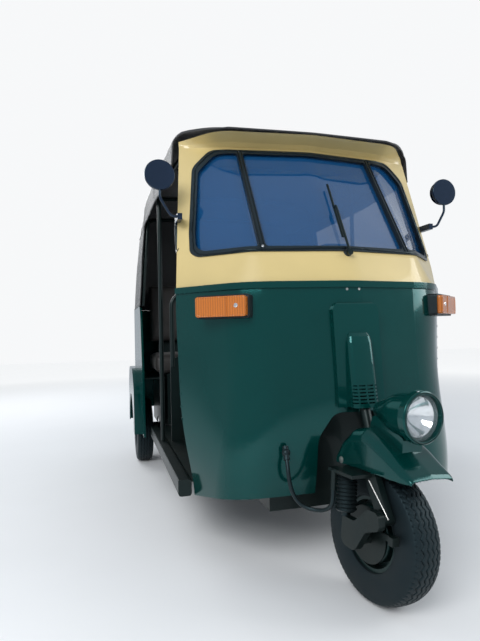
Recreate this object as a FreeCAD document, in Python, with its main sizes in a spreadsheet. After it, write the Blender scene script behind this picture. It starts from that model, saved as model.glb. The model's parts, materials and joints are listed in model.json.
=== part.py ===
# Auto rickshaw: a three-wheeled motor taxi with a steel front shell, an open cabin,
# a soft hood and the engine under the rear seat. Millimetres, +Z up, the front faces -Y
# and +X is the vehicle's left. The origin is on the ground under the middle of the vehicle.
import FreeCAD, Part
import math
import os

import Sketcher
from FreeCAD import Rotation, Vector

doc = FreeCAD.newDocument("AutoRickshaw")
sheet = doc.addObject("Spreadsheet::Sheet", "Dims")

# Each row is an alias, its value in mm or degrees, and what it measures.
DIMENSIONS = (
    ("front_axle_y", -1085.6, "front axle from the middle of the vehicle"),
    ("wheelbase", 2000, "front axle to rear axle"),
    ("rear_track", 1150, "between the middles of the rear tyres"),
    ("tyre_radius", 203, "tyre, outside"),
    ("tyre_width", 102, "tyre, over the sidewalls"),
    ("bead_radius", 104, "where the tyre sits on the rim"),
    ("rim_lip_radius", 114, "rim, over the lips"),
    ("rim_width", 74, "rim, over the lips"),
    ("rim_wall", 5, "pressed steel of the rim"),
    ("drum_radius", 84, "brake drum"),
    ("drum_width", 44, "brake drum, from the wheel disc inwards"),
    ("hub_length", 26, "hub cap, from the wheel disc outwards"),
    ("axle_radius", 11, "stub axles"),
    ("axle_clearance", 0.5, "stub axle to hub bore"),
    ("front_axle_lift", 0.47, "front axle above a tyre radius, for the lean at rest"),
    ("steer_rake", 20, "steering axis, leaning back from upright"),
    ("steer_foot", -120, "where the steering axis meets the ground, from the front axle"),
    ("rest_steer", 11, "front wheel turned to the left as parked"),
    ("stem_radius", 17, "steering stem"),
    ("stem_top", 925, "height of the stem's top"),
    ("head_tube_wall", 6, "steering head tube"),
    ("head_clearance", 0.5, "stem to head tube"),
    ("fork_radius", 14.5, "front fork leg"),
    ("fork_offset", 71, "fork leg from the wheel's middle"),
    ("link_offset", 106, "trailing link and shock absorber from the wheel's middle"),
    ("link_width", 24, "trailing link"),
    ("bellows_radius", 33, "rubber bellows round the front spring"),
    ("guard_half_width", 90, "mudguard"),
    ("guard_wall", 4, "mudguard"),
    ("lamp_z", 575, "middle of the headlamp"),
    ("lamp_face", 169, "headlamp's front, ahead of the front axle"),
    ("lamp_radius", 75.5, "headlamp rim"),
    ("lens_radius", 66.5, "headlamp glass"),
    ("bar_rise", 6.2, "handlebar block above the stem's top"),
    ("bar_reach", 258, "handlebar, from the middle to each end"),
    ("bar_back", 325, "handlebar ends behind the stem's top"),
    ("bar_radius", 11, "handlebar tube"),
    ("grip_radius", 17, "rubber grips"),
    ("shell_wall", 12, "front shell, with its inner frame"),
    ("belt_z", 972, "top of the green shell"),
    ("belt_height", 22, "rolled bead between the green and cream panels"),
    ("belt_stand_out", 8, "rolled bead proud of the shell"),
    ("belt_half_width", 558, "front shell at the bead"),
    ("sill_z", 285, "lower edge of the front shell at its front"),
    ("arch_half_width", 142, "opening in the shell round the front wheel"),
    ("arch_top", 554, "top of that opening"),
    ("screen_wall", 26, "cream windscreen frame"),
    ("screen_bottom", 1104, "lower edge of the windscreen openings"),
    ("screen_top", 1562, "upper edge of the windscreen openings"),
    ("screen_half_width", 508, "outer corner of the side panes"),
    ("mullion_x", 283, "middle of each windscreen bar"),
    ("mullion_half_width", 11, "windscreen bar"),
    ("gasket_lip", 20, "rubber seal, across its face"),
    ("gasket_stand_out", 5, "rubber seal proud of the frame"),
    ("glass_wall", 5, "windscreen glass"),
    ("visor_top", 1606, "upper edge of the windscreen header"),
    ("nose_half_width", 84, "raised panel on the nose"),
    ("nose_top", 920, "raised panel"),
    ("nose_bottom", 574, "raised panel"),
    ("floor_z", 290, "top of the cabin floor"),
    ("floor_wall", 10, "ribbed floor plate"),
    ("tread_rise", 2, "pressed panel of the passengers' footwell, above the floor"),
    ("floor_half_width", 515, "cabin floor between the sills"),
    ("sill_width", 50, "side sill"),
    ("entry_end", 1560, "rear edge of the passengers' entry, from the front axle"),
    ("rail_x", 250, "middle of each chassis rail"),
    ("rail_width", 50, "chassis rail"),
    ("rail_height", 75, "chassis rail"),
    ("partition_y", 1120, "partition behind the driver, from the front axle"),
    ("seat_z", 520, "top of the driver's seat box"),
    ("driver_pad", 80, "driver's cushion, thickness"),
    ("bench_z", 585, "top of the passengers' seat box"),
    ("bench_pad", 120, "passengers' cushion, thickness"),
    ("bench_front", 1640, "front of the passengers' seat box, from the front axle"),
    ("tail_y", 2338, "outside of the tail panel, from the front axle"),
    ("body_half_width", 606, "rear body over the side panels"),
    ("fender_half_width", 652, "rear body over the wheel covers"),
    ("panel_wall", 12, "rear body panels, with their stiffeners"),
    ("waist_z", 1000, "top of the rear body"),
    ("rear_arch_radius", 252, "opening round each rear wheel"),
    ("lid_half_width", 330, "engine lid"),
    ("lid_bottom", 400, "engine lid"),
    ("lid_top", 860, "engine lid"),
    ("lid_gap", 6, "round the engine lid"),
    ("hood_top", 1710, "top of the hood"),
    ("hood_wall", 6, "hood cloth with its lining"),
    ("hoop_radius", 11, "hood hoops and rails"),
    ("mirror_radius", 57, "round mirrors"),
    ("bumper_radius", 20, "rear bumper tube"),
    ("bracket_wall", 3.5, "bumper bracket where it grips the tube"),
    ("bumper_y", 2362, "middle of the rear bumper tube, from the front axle"),
    ("hose_radius", 6.5, "brake hose"),
)

for row, (alias, value, meaning) in enumerate(DIMENSIONS, start=1):
    sheet.set("A%d" % row, meaning)
    sheet.set("B%d" % row, str(value))
    sheet.setAlias("B%d" % row, alias)
doc.recompute()


class Size:
    """A number from the sheet, or one worked out from it, that keeps its formula."""

    def __init__(self, number, formula):
        self.number = number
        self.formula = formula

    def __float__(self):
        return self.number

    def __add__(self, other):
        return Size(self.number + float(other), "(%s + %s)" % (self.formula, formula(other)))

    def __radd__(self, other):
        return self + other

    def __sub__(self, other):
        return Size(self.number - float(other), "(%s - %s)" % (self.formula, formula(other)))

    def __rsub__(self, other):
        return Size(float(other) - self.number, "(%s - %s)" % (formula(other), self.formula))

    def __mul__(self, other):
        return Size(self.number * float(other), "(%s * %s)" % (self.formula, formula(other)))

    def __rmul__(self, other):
        return self * other

    def __truediv__(self, other):
        return Size(self.number / float(other), "(%s / %s)" % (self.formula, formula(other)))

    def __neg__(self):
        return Size(-self.number, "(-1 * %s)" % self.formula)


def formula(value):
    return value.formula if isinstance(value, Size) else repr(float(value))


def bind(item, path, value):
    """Ties one property of a feature to the sheet, or sets it where the value is plain."""
    if isinstance(value, Size):
        item.setExpression(path, value.formula)
    else:
        item.setExpression(path, repr(float(value)))


class Sheet:
    """Reads a cell by its alias, as a Size."""

    def __getattr__(self, alias):
        return Size(float(getattr(sheet, alias)), "Dims.%s" % alias)


d = Sheet()
NODES = []


def back(distance):
    """A place along the vehicle, given from the front axle towards the rear."""
    return d.front_axle_y + distance


def point(x, y, z):
    return Vector(float(x), float(y), float(z))


def keep(item, label):
    """Names a finished sub-part; its label is also the name of its file."""
    item.Label = label
    NODES.append(item)
    return item


def place(item, x, y, z):
    for axis, value in (("x", x), ("y", y), ("z", z)):
        bind(item, "Placement.Base." + axis, value)
    return item


# Straight runs with rounded corners


def flat(value):
    return Vector(float(value[0]), float(value[1]), 0)


def corner_cuts(corners, closed):
    """For each corner: where the run into it ends, the arc's middle and where the next run starts."""
    cuts = []
    count = len(corners)
    for index, corner in enumerate(corners):
        here = flat(corner)
        radius = float(corner[2]) if len(corner) > 2 else 0.0
        if radius == 0 or (not closed and index in (0, count - 1)):
            cuts.append((here, None, here, 0.0))
            continue
        before = (flat(corners[index - 1]) - here).normalize()
        after = (flat(corners[(index + 1) % count]) - here).normalize()
        half = before.getAngle(after) / 2
        reach = radius / math.tan(half)
        middle = (before + after).normalize() * (radius / math.sin(half))
        arc_mid = here + middle * (1 - math.sin(half))
        cuts.append((here + before * reach, arc_mid, here + after * reach, radius))
    return cuts


def wire_pieces(corners, closed):
    """The lines and arcs, in order, each as its points: two for a line, three for an arc."""
    cuts = corner_cuts(corners, closed)
    pieces = []
    last = len(cuts) if closed else len(cuts) - 1
    for index in range(len(cuts)):
        enter, middle, leave, radius = cuts[index]
        if middle is not None:
            pieces.append((enter, middle, leave))
        if index < last:
            pieces.append((leave, cuts[(index + 1) % len(cuts)][0]))
    return pieces


def draw(holder, name, plane, corners, closed=True):
    """A sketch bound to the sheet. A corner is (across, up) or (across, up, rounding radius)."""
    planes = {feature.Role: feature for feature in holder.Origin.OriginFeatures}
    sketch = holder.newObject("Sketcher::SketchObject", name)
    sketch.AttachmentSupport = (planes[plane + "_Plane"], [""])
    sketch.MapMode = "FlatFace"
    cuts = corner_cuts(corners, closed)
    count = len(corners)
    runs = []
    for index in range(count if closed else count - 1):
        start, end = cuts[index][2], cuts[(index + 1) % count][0]
        runs.append(sketch.addGeometry(Part.LineSegment(start, end), False))
    for index, corner in enumerate(corners):
        enter, middle, leave, radius = cuts[index]
        is_end = not closed and index in (0, count - 1)
        coming = runs[index - 1]
        going = runs[index] if index < len(runs) else None
        if middle is None:
            holder_run, end = (coming, 2) if is_end and index else (going, 1)
            pin_corner(sketch, holder_run, end, corner)
            if not is_end:
                sketch.addConstraint(Sketcher.Constraint("Coincident", coming, 2, going, 1))
            continue
        circle = Part.Arc(enter, middle, leave)
        arc = sketch.addGeometry(circle, False)
        first, second = (1, 2)
        if sketch.getPoint(arc, 1).distanceToPoint(enter) > sketch.getPoint(arc, 2).distanceToPoint(enter):
            first, second = (2, 1)
        mark = sketch.addGeometry(Part.Point(flat(corner)), True)
        pin_corner(sketch, mark, 1, corner)
        sketch.addConstraint(Sketcher.Constraint("PointOnObject", mark, 1, coming))
        sketch.addConstraint(Sketcher.Constraint("PointOnObject", mark, 1, going))
        sketch.addConstraint(Sketcher.Constraint("Tangent", coming, 2, arc, first))
        sketch.addConstraint(Sketcher.Constraint("Tangent", arc, second, going, 1))
        rule = sketch.addConstraint(Sketcher.Constraint("Radius", arc, radius))
        if isinstance(corner[2], Size):
            sketch.setExpression("Constraints[%d]" % rule, corner[2].formula)
    return sketch


def pin_corner(sketch, geometry, end, corner):
    for kind, value in (("DistanceX", corner[0]), ("DistanceY", corner[1])):
        rule = sketch.addConstraint(Sketcher.Constraint(kind, geometry, end, float(value)))
        if isinstance(value, Size):
            sketch.setExpression("Constraints[%d]" % rule, value.formula)


def pad(name, plane, corners, start, length):
    """An outline given thickness: it runs from start to start + length along the third axis."""
    body = doc.addObject("PartDesign::Body", name)
    sketch = draw(body, name + "_outline", plane, corners)
    feature = body.newObject("PartDesign::Pad", name + "_pad")
    feature.Profile = sketch
    bind(feature, "Length", length)
    feature.Reversed = plane == "XZ"
    axis = {"XY": "z", "XZ": "y", "YZ": "x"}[plane]
    bind(body, "Placement.Base." + axis, start)
    return body


def turned(name, axis, corners, x, y, z):
    """An outline of (along the axis, radius) turned round the X, Y or Z axis through a point."""
    body = doc.addObject("PartDesign::Body", name)
    plane = {"X": "XY", "Y": "YZ", "Z": "XZ"}[axis]
    if axis == "Z":
        corners = [(c[1], c[0]) + tuple(c[2:]) for c in corners]
    sketch = draw(body, name + "_outline", plane, corners)
    feature = body.newObject("PartDesign::Revolution", name + "_turned")
    feature.Profile = sketch
    feature.ReferenceAxis = (sketch, ["V_Axis" if axis == "Z" else "H_Axis"])
    feature.Angle = 360
    return place(body, x, y, z)


def tube(name, plane, corners, offset, radius):
    """A round bar along a path of straight runs and bends in one plane."""
    body = doc.addObject("PartDesign::Body", name)
    path = draw(body, name + "_path", plane, corners, closed=False)
    ring = body.newObject("Sketcher::SketchObject", name + "_ring")
    ring.AttachmentSupport = [(path, "Edge1")]
    ring.MapMode = "NormalToEdge"
    ring.MapPathParameter = 0
    circle = ring.addGeometry(Part.Circle(Vector(0, 0, 0), Vector(0, 0, 1), float(radius)), False)
    ring.addConstraint(Sketcher.Constraint("Coincident", circle, 3, -1, 1))
    rule = ring.addConstraint(Sketcher.Constraint("Radius", circle, float(radius)))
    if isinstance(radius, Size):
        ring.setExpression("Constraints[%d]" % rule, radius.formula)
    pipe = body.newObject("PartDesign::AdditivePipe", name + "_pipe")
    pipe.Profile = ring
    pipe.Spine = path
    axis = {"XY": "z", "XZ": "y", "YZ": "x"}[plane]
    bind(body, "Placement.Base." + axis, offset)
    return body


def block(name, low, high):
    box = doc.addObject("Part::Box", name)
    for side, start, end in zip(("Length", "Width", "Height"), low, high):
        bind(box, side, end - start)
    return place(box, *low)


def rod(name, axis, radius, x, y, z, length):
    """A round bar from a point, along X, Y or Z."""
    bar = doc.addObject("Part::Cylinder", name)
    bind(bar, "Radius", radius)
    bind(bar, "Height", length)
    turns = {"X": Rotation(Vector(0, 1, 0), 90), "Y": Rotation(Vector(1, 0, 0), -90), "Z": Rotation()}
    bar.Placement.Rotation = turns[axis]
    return place(bar, x, y, z)


def strut(name, radius, start, end):
    """A round bar between two points."""
    line = end - start
    bar = doc.addObject("Part::Cylinder", name)
    bind(bar, "Radius", radius)
    bar.Height = line.Length
    bar.Placement = FreeCAD.Placement(start, Rotation(Vector(0, 0, 1), line))
    return bar


def ball(name, radius, centre):
    knob = doc.addObject("Part::Sphere", name)
    bind(knob, "Radius", radius)
    knob.Placement.Base = centre
    return knob


def fuse(name, *pieces):
    joined = doc.addObject("Part::MultiFuse", name)
    joined.Shapes = list(pieces)
    return joined


def cut(name, base, *tools):
    less = doc.addObject("Part::Cut", name)
    less.Base = base
    less.Tool = tools[0] if len(tools) == 1 else fuse(name + "_tools", *tools)
    return less


def common(name, first, second):
    shared = doc.addObject("Part::Common", name)
    shared.Base = first
    shared.Tool = second
    return shared


def gather(name, *pieces):
    group = doc.addObject("Part::Compound", name)
    group.Links = list(pieces)
    return group


# Shells lofted through a few sections


def offset_run(corners, distance):
    """The same open run of corners, moved to its left by a distance."""
    points = [flat(corner) for corner in corners]
    moved = []
    for index, here in enumerate(points):
        before = points[index] - points[index - 1] if index else points[1] - points[0]
        after = points[index + 1] - here if index + 1 < len(points) else before
        sides = [Vector(-run.y, run.x, 0).normalize() for run in (before, after)]
        middle = (sides[0] + sides[1]).normalize()
        shift = middle * (distance / middle.dot(sides[0]))
        radius = float(corners[index][2]) if len(corners[index]) > 2 else 0.0
        turn = before.cross(after).z
        if radius:
            radius = radius - distance if turn > 0 else radius + distance
        moved.append((here.x + shift.x, here.y + shift.y, radius))
    return moved


def section(corners, stand_out, wall, plane, level):
    """A closed strip: the run of corners moved out, its copy one wall further in, and two ends."""
    outer = offset_run(corners, -stand_out)
    inner = offset_run(corners, wall - stand_out)
    pieces = wire_pieces(outer, closed=False)
    returning = [tuple(reversed(piece)) for piece in reversed(wire_pieces(inner, closed=False))]
    loop = pieces + [(pieces[-1][-1], returning[0][0])] + returning + [(returning[-1][-1], pieces[0][0])]
    return Part.Wire([edge(piece, plane, level) for piece in loop])


def edge(piece, plane, level):
    spots = [lift(spot, plane, level) for spot in piece]
    if len(spots) == 3:
        return Part.Arc(*spots).toShape()
    return Part.LineSegment(*spots).toShape()


def lift(spot, plane, level):
    if plane == "XY":
        return Vector(spot.x, spot.y, float(level))
    return Vector(spot.x, float(level), spot.y)


def filled(name, plane, sections, stand_out, ruled=True):
    """A lofted solid inside such runs of corners, closed by a straight line between their ends."""
    wires = []
    for level, half in sections:
        run = [tuple(float(value) for value in corner) for corner in both_sides(half)]
        pieces = wire_pieces(offset_run(run, -float(stand_out)), closed=False)
        pieces.append((pieces[-1][-1], pieces[0][0]))
        wires.append(Part.Wire([edge(piece, plane, level) for piece in pieces]))
    solid = doc.addObject("Part::Feature", name)
    solid.Shape = Part.makeLoft(wires, True, ruled)
    return solid


def both_sides(half):
    """A run of corners from the right side over the middle to the left, from its right half."""
    mirrored = [(-corner[0],) + tuple(corner[1:]) for corner in reversed(half[:-1])]
    return list(half) + mirrored


def shell(name, plane, sections, stand_out, wall, ruled=True):
    """A lofted wall. A section is its level and the corners of its right half, ending in the middle."""
    wires = []
    for level, half in sections:
        run = [tuple(float(value) for value in corner) for corner in both_sides(half)]
        wires.append(section(run, float(stand_out), float(wall), plane, level))
    skin = doc.addObject("Part::Feature", name)
    skin.Shape = Part.makeLoft(wires, True, ruled)
    return skin


# Wheels


def wheel(side, outward, x, y, z):
    """A tyre on a pressed rim with its brake drum. The wheel disc faces outward, +1 or -1 in X."""
    half_rim = d.rim_width / 2
    half_bead = half_rim - d.rim_wall
    half_tyre = d.tyre_width / 2
    tyre_outline = [
        (-half_bead, d.bead_radius), (half_bead, d.bead_radius), (half_bead, d.rim_lip_radius + 3),
        (half_tyre, d.rim_lip_radius + 24, 20), (half_tyre, d.tyre_radius - 30, 25),
        (half_tyre - 8, d.tyre_radius - 7, 10), (half_tyre * 0.45, d.tyre_radius, 40),
        (half_tyre * -0.45, d.tyre_radius, 40), (8 - half_tyre, d.tyre_radius - 7, 10),
        (-half_tyre, d.tyre_radius - 30, 25), (-half_tyre, d.rim_lip_radius + 24, 20),
        (-half_bead, d.rim_lip_radius + 3),
    ]
    bore = d.axle_radius + d.axle_clearance
    barrel = d.bead_radius - d.rim_wall
    cap_wall = 6
    hub_radius = 30
    rim_outline = [
        (-d.drum_width, bore), (d.hub_length - cap_wall, bore), (d.hub_length - cap_wall, 0),
        (d.hub_length, 0), (d.hub_length, hub_radius, 6), (d.rim_wall, hub_radius + 16),
        (d.rim_wall, barrel), (half_rim, barrel), (half_rim, d.rim_lip_radius),
        (half_bead, d.rim_lip_radius), (half_bead, d.bead_radius), (-half_bead, d.bead_radius),
        (-half_bead, d.rim_lip_radius), (-half_rim, d.rim_lip_radius), (-half_rim, barrel),
        (0, barrel), (0, d.drum_radius), (-d.drum_width, d.drum_radius, 8),
    ]
    rim_outline = [(corner[0] * outward,) + tuple(corner[1:]) for corner in rim_outline]
    tyre = turned("tyre" + side, "X", tyre_outline, x, y, z)
    rim = turned("rim" + side, "X", rim_outline, x, y, z)
    return tyre, rim


rear_axle = back(d.wheelbase)
front_axle_z = d.tyre_radius + d.front_axle_lift
for side, outward in (("left", 1), ("right", -1)):
    tyre, rim = wheel("_behind_" + side, outward, d.rear_track * (outward / 2), rear_axle, d.tyre_radius)
    keep(tyre, "tyre_rear_" + side)
    keep(rim, "rim_rear_" + side)

# The steered front end is modelled straight ahead and then turned about the steering axis.
# Across is from the wheel's middle plane, so the vehicle's right side is negative.

steer_placement = (
    "placement(vector(0; 0; 0); "
    "rotation(vector(0; sin(Dims.steer_rake * 1deg); cos(Dims.steer_rake * 1deg)); Dims.rest_steer); "
    "vector(0; Dims.front_axle_y + Dims.steer_foot; 0))"
)


def steered(label, *pieces):
    """A finished sub-part of the front end, turned to the parked steering angle."""
    group = gather(label + "_turned", *pieces)
    group.setExpression("Placement", steer_placement)
    return keep(group, label)


def axis_point(height):
    """A point of the steering axis at a height."""
    lean = math.tan(math.radians(float(d.steer_rake)))
    return point(0, back(d.steer_foot) + height * lean, height)


front_tyre, front_rim = wheel("_ahead", 1, 0, back(0), front_axle_z)
steered("tyre_front", front_tyre)
steered("rim_front", front_rim)

# The stem runs down the axis, over the tyre to the right and down to the link's pivot ahead of the axle.
stem_foot = axis_point(480)
crown_end = point(-d.fork_offset, back(-16), 424)
pivot_tube = rod("pivot_tube", "X", d.fork_radius + 3, -d.link_offset + d.link_width / 2 + 0.5,
                 back(-105), 284, d.link_offset - d.link_width / 2 - d.tyre_width / 2 - 6)
shock_seat = block("shock_seat", (-d.link_offset - 46, back(-48), 386),
                   (-d.tyre_width / 2 - 8, back(68), 396))
leg_blade = pad("leg_blade", "YZ", [(back(-44), 436, 14), (back(12), 436, 14), (back(-84), 268, 16),
    (back(-128), 284, 16)],
                -d.fork_offset - 12, 22)
union_x, union_y, union_z = -147, 45, 332
hose_union = rod("hose_union", "Z", d.hose_radius + 2, union_x, back(union_y), union_z, 60)
fork = fuse("fork", strut("stem", d.stem_radius, stem_foot, axis_point(float(d.stem_top))),
            ball("crown_knuckle", d.stem_radius, stem_foot),
            strut("crown", d.stem_radius, stem_foot, crown_end),
            ball("leg_knuckle", d.fork_radius, crown_end),
            leg_blade, pivot_tube, shock_seat, hose_union)
steered("steering_fork", fork)

link_outline = [
    (back(-128), 262, 18), (back(-122), 308, 20), (back(-80), 308, 20), (back(-20), 256, 20),
    (back(36), 256, 10), (back(40), front_axle_z - 30, 26), (back(-24), front_axle_z - 34, 26),
    (back(-70), 240, 40),
]
link_arm = pad("link_arm", "YZ", link_outline, -d.link_offset - d.link_width / 2, d.link_width)
brake_plate = rod("brake_plate", "X", d.drum_radius, -d.drum_width - 9, back(0), front_axle_z, 4)
stub_boss = rod("stub_boss", "X", 26, -d.link_offset, back(0), front_axle_z, d.link_offset - d.drum_width - 6)
stub_axle = rod("stub_axle", "X", d.axle_radius, -d.link_offset, back(0), front_axle_z,
                d.link_offset + d.hub_length - 8)
brake_boss = rod("brake_boss", "X", 12, -68, back(-52), 231, 68 - d.drum_width - 7)
brake_arm = block("brake_arm", (-d.fork_offset - 14, back(-146), 222), (-61, back(-128), 246))
brake_web = block("brake_web", (-68, back(-140), 222), (-61, back(-48), 240))
steered("trailing_link", fuse("link", link_arm, brake_plate, stub_boss, stub_axle, brake_boss, brake_arm,
    brake_web))

shock_tube = turned("shock_tube", "Z", [(256, 0), (256, 14), (268, 14), (268, 20), (386, 20), (386, 0)],
                    -d.link_offset, back(34), 0)

# The bellows' folds are rings of two radii round the shock absorber.
fold_count = 10
fold_pitch = 11.5
bellows_foot = 270
bellows_outline = [(bellows_foot, 20.5)]
for fold in range(fold_count):
    level = bellows_foot + fold * fold_pitch
    bellows_outline.append((level, d.bellows_radius - 5))
    bellows_outline.append((level + fold_pitch / 2, d.bellows_radius))
bellows_head = bellows_foot + fold_count * fold_pitch
bellows_outline.append((bellows_head, d.bellows_radius - 5))
bellows_outline.append((bellows_head, 20.5))
steered("front_shock", shock_tube, turned("bellows", "Z", bellows_outline, -d.link_offset, back(34), 0))

# Mudguard: station from the axle, lower edge, height, share of the full half width, shoulder rounding
GUARD = (
    (-204, 401, 411, 0.86, 5),
    (-194, 401, 421, 0.9, 12),
    (-164, 400, 441, 0.94, 24),
    (-116, 400, 473, 0.98, 32),
    (-64, 400, 501, 1.0, 36),
    (-8, 400, 524, 1.0, 38),
    (44, 398, 512, 1.0, 36),
    (88, 396, 474, 0.98, 32),
    (120, 394, 416, 0.94, 12),
)
guard_sections = []
for station, low, top, share, rounding in GUARD:
    half_width = d.guard_half_width * share
    guard_sections.append((back(station), [(half_width, low), (half_width, top, rounding), (0, top + 5)]))
guard = shell("guard", "XZ", guard_sections, 0, d.guard_wall)
stem_passage = fuse("stem_passage", ball("knuckle_passage", d.stem_radius + 0.3, stem_foot),
                    strut("stem_hole_in_guard", d.stem_radius + 0.3, stem_foot, axis_point(620)))
steered("mudguard", cut("guard_pierced", guard, stem_passage))

# Headlamp: a turned bucket with a dished front, on a pedestal that stands on the mudguard.
lamp_back = 195
bucket_outline = [
    (0, 0), (5, 24, 12), (100, 63, 160), (lamp_back - 22, d.lamp_radius - 3, 3),
    (lamp_back - 22, d.lens_radius - 1),
    (lamp_back - 40, d.lens_radius - 8, 20), (lamp_back - 66, 30, 30), (lamp_back - 70, 0),
]
lamp_rear = back(lamp_back - d.lamp_face)


def lamp_outline(corners):
    """Measures along the lamp run from its back end towards the front, against Y."""
    return [(-corner[0],) + tuple(corner[1:]) for corner in corners]


bucket = turned("bucket", "Y", lamp_outline(bucket_outline), 0, lamp_rear, d.lamp_z)
pedestal_outline = [
    (back(-124), 462), (back(-126), d.lamp_z - 64, 8), (back(-70), d.lamp_z - 40, 20),
    (back(6), d.lamp_z - 10, 16),
    (back(18), 512), (back(-60), 490), (back(-110), 462)]
pedestal = pad("pedestal", "YZ", pedestal_outline, -37, 74)
guard_outer = filled("guard_outer", "XZ", guard_sections, 0.3)
lamp_body = cut("lamp_body", fuse("lamp_on_foot", bucket, pedestal), guard_outer)
steered("headlamp_bucket", lamp_body)

rim_ring = turned("rim_ring", "Y", lamp_outline([
    (lamp_back - 21.7, d.lens_radius), (lamp_back - 21.7, d.lamp_radius - 2),
    (lamp_back - 26, d.lamp_radius - 1.5),
    (lamp_back - 26, d.lamp_radius + 1), (lamp_back - 4, d.lamp_radius + 1, 4),
    (lamp_back, d.lens_radius + 4, 3),
    (lamp_back, d.lens_radius)]), 0, lamp_rear, d.lamp_z)
steered("headlamp_rim", rim_ring)
lens = turned("lens", "Y", lamp_outline([
    (lamp_back - 21, 0), (lamp_back - 21, d.lens_radius - 0.5), (lamp_back - 15, d.lens_radius - 0.5),
    (lamp_back - 8, d.lens_radius * 0.62, 60), (lamp_back - 5, 0)]), 0, lamp_rear, d.lamp_z)
steered("headlamp_lens", lens)

# Handlebar: a cross tube swept back at both ends, on the stem's top.
stem_head = axis_point(float(d.stem_top))
bar_front = Size(stem_head.y, "(%s)" % repr(stem_head.y))
bar_path = [(-d.bar_reach, bar_front + d.bar_back), (-d.bar_reach + 22, bar_front + d.bar_back - 130, 60),
            (-d.bar_reach + 130, bar_front + 86, 70), (0, bar_front + 66)]
block_foot = d.stem_top + d.bar_rise
bar_level = block_foot + 26
bar = tube("bar", "XY", both_sides(bar_path), bar_level, d.bar_radius)
head_block = pad("head_block", "XY", [(-34, bar_front - 28, 16), (34, bar_front - 28, 16),
                                      (58, bar_front + 82, 20), (-58, bar_front + 82, 20)], block_foot, 52)
steered("handlebar", fuse("bar_and_head", bar, head_block))
grips = []
for side, sign in (("left", 1), ("right", -1)):
    start = point(sign * (d.bar_reach - 20), bar_front + d.bar_back - 118, bar_level)
    end = point(sign * d.bar_reach, bar_front + d.bar_back, bar_level)
    reach = (end - start).normalize()
    sleeve = strut("grip_" + side, d.grip_radius, start, end + reach * 4)
    grips.append(cut("sleeve_" + side, sleeve, bar))
steered("handlebar_grips", *grips)


# Front shell: level, nose corner, side corner across and back, its rounding, door edge across and back
FASCIA = (
    (d.sill_z - 58, 198, 418, 199, 165, 507, 438),
    (d.sill_z + 55, 158, 410, 180, 185, 520, 441),
    (d.sill_z + 180, 126, 384, 176, 215, 540, 448),
    (d.sill_z + 315, 115, 362, 184, 240, 551, 453),
    (d.sill_z + 505, 133, 356, 194, 250, 557, 455),
    (d.belt_z, 149, 358, 203, 250, d.belt_half_width, 455),
)
nose_rounding = 300
fascia_sections = []
for level, nose, side_x, side_y, rounding, edge_x, edge_y in FASCIA:
    fascia_sections.append((level, [
        (-edge_x, back(edge_y)), (-side_x, back(side_y), rounding), (0, back(nose), nose_rounding)]))
fascia_skin = shell("fascia_skin", "XY", fascia_sections, 0, d.shell_wall, ruled=False)
fascia_solid = filled("fascia_solid", "XY", fascia_sections, 0.3, ruled=False)
arch_cut = pad("arch_cut", "XZ", [
    (-d.arch_half_width, d.sill_z - 80), (d.arch_half_width, d.sill_z - 80),
    (d.arch_half_width, d.arch_top - 84, 90), (d.arch_half_width * 0.6, d.arch_top, 50),
    (d.arch_half_width * -0.6, d.arch_top, 50), (-d.arch_half_width, d.arch_top - 84, 90)], back(-60), 420)
sill_cut = pad("sill_cut", "YZ", [
    (back(60), d.sill_z - 80), (back(60), d.sill_z + 18), (back(460), d.sill_z - 55),
    (back(460), d.sill_z - 80)],
    -700, 1400)
# The steering head stands close behind the nose, so the shell and its raised panel make room for it.
column_radius = d.stem_radius + d.head_clearance + d.head_tube_wall + 2
column_room = strut("column_room", column_radius, axis_point(530), axis_point(836))
keep(cut("front_shell", fascia_skin, arch_cut, sill_cut, column_room), "front_shell")

belt_levels = []
for level in (d.belt_z, d.belt_z + d.belt_height):
    belt_levels.append((level, fascia_sections[-1][1]))
keep(shell("bead", "XY", belt_levels, d.belt_stand_out, d.shell_wall + d.belt_stand_out), "belt_bead")

# Windscreen frame: level, nose corner, side corner across and back, its rounding, door edge across and back
header_z = d.screen_top + 14
SCREEN = (
    (d.belt_z + d.belt_height, 153, 358, 207, 250, d.belt_half_width, 455),
    (d.screen_bottom - 14, 191, 322, 246, 110, 552, 474),
    (header_z, 520, 330, 556, 110, 514, 612),
    (header_z + 12, 500, 350, 536, 120, 514, 618),
    (d.visor_top, 436, 385, 470, 150, 514, 622),
)
screen_sections = []
for level, nose, side_x, side_y, rounding, edge_x, edge_y in SCREEN:
    screen_sections.append((level, [
        (-edge_x, back(edge_y)), (-side_x, back(side_y), rounding), (0, back(nose), nose_rounding)]))


def pane_outline(side, inset):
    """A pane's outline from the front: 0 is the middle pane, and +1 and -1 the side panes."""
    low = d.screen_bottom + inset
    top = d.screen_top - inset
    if side == 0:
        half = d.mullion_x - d.mullion_half_width + d.gasket_lip - inset
        return [(-half, low, 12), (half, low, 12), (half, top, 12), (-half, top, 12)]
    near = d.mullion_x + d.mullion_half_width - d.gasket_lip + inset
    far = d.screen_half_width - inset
    corners = [(near, low, 12), (far, low, 34), (far - 4, d.screen_bottom + 100, 60),
        (far - 36, top - 78, 70),
               (far - 110, top, 60), (near, top, 12)]
    return [(corner[0] * side,) + tuple(corner[1:]) for corner in corners]


def pane_prisms(name, inset):
    depth_from, depth = back(150), 560
    return [pad("%s_%d" % (name, index), "XZ", pane_outline(side, inset), depth_from, depth)
            for index, side in enumerate((-1, 0, 1))]


frame_skin = shell("frame_skin", "XY", screen_sections, 0, d.screen_wall)
keep(cut("screen_frame", frame_skin, *pane_prisms("opening", -0.3)), "windscreen_frame")

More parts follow.
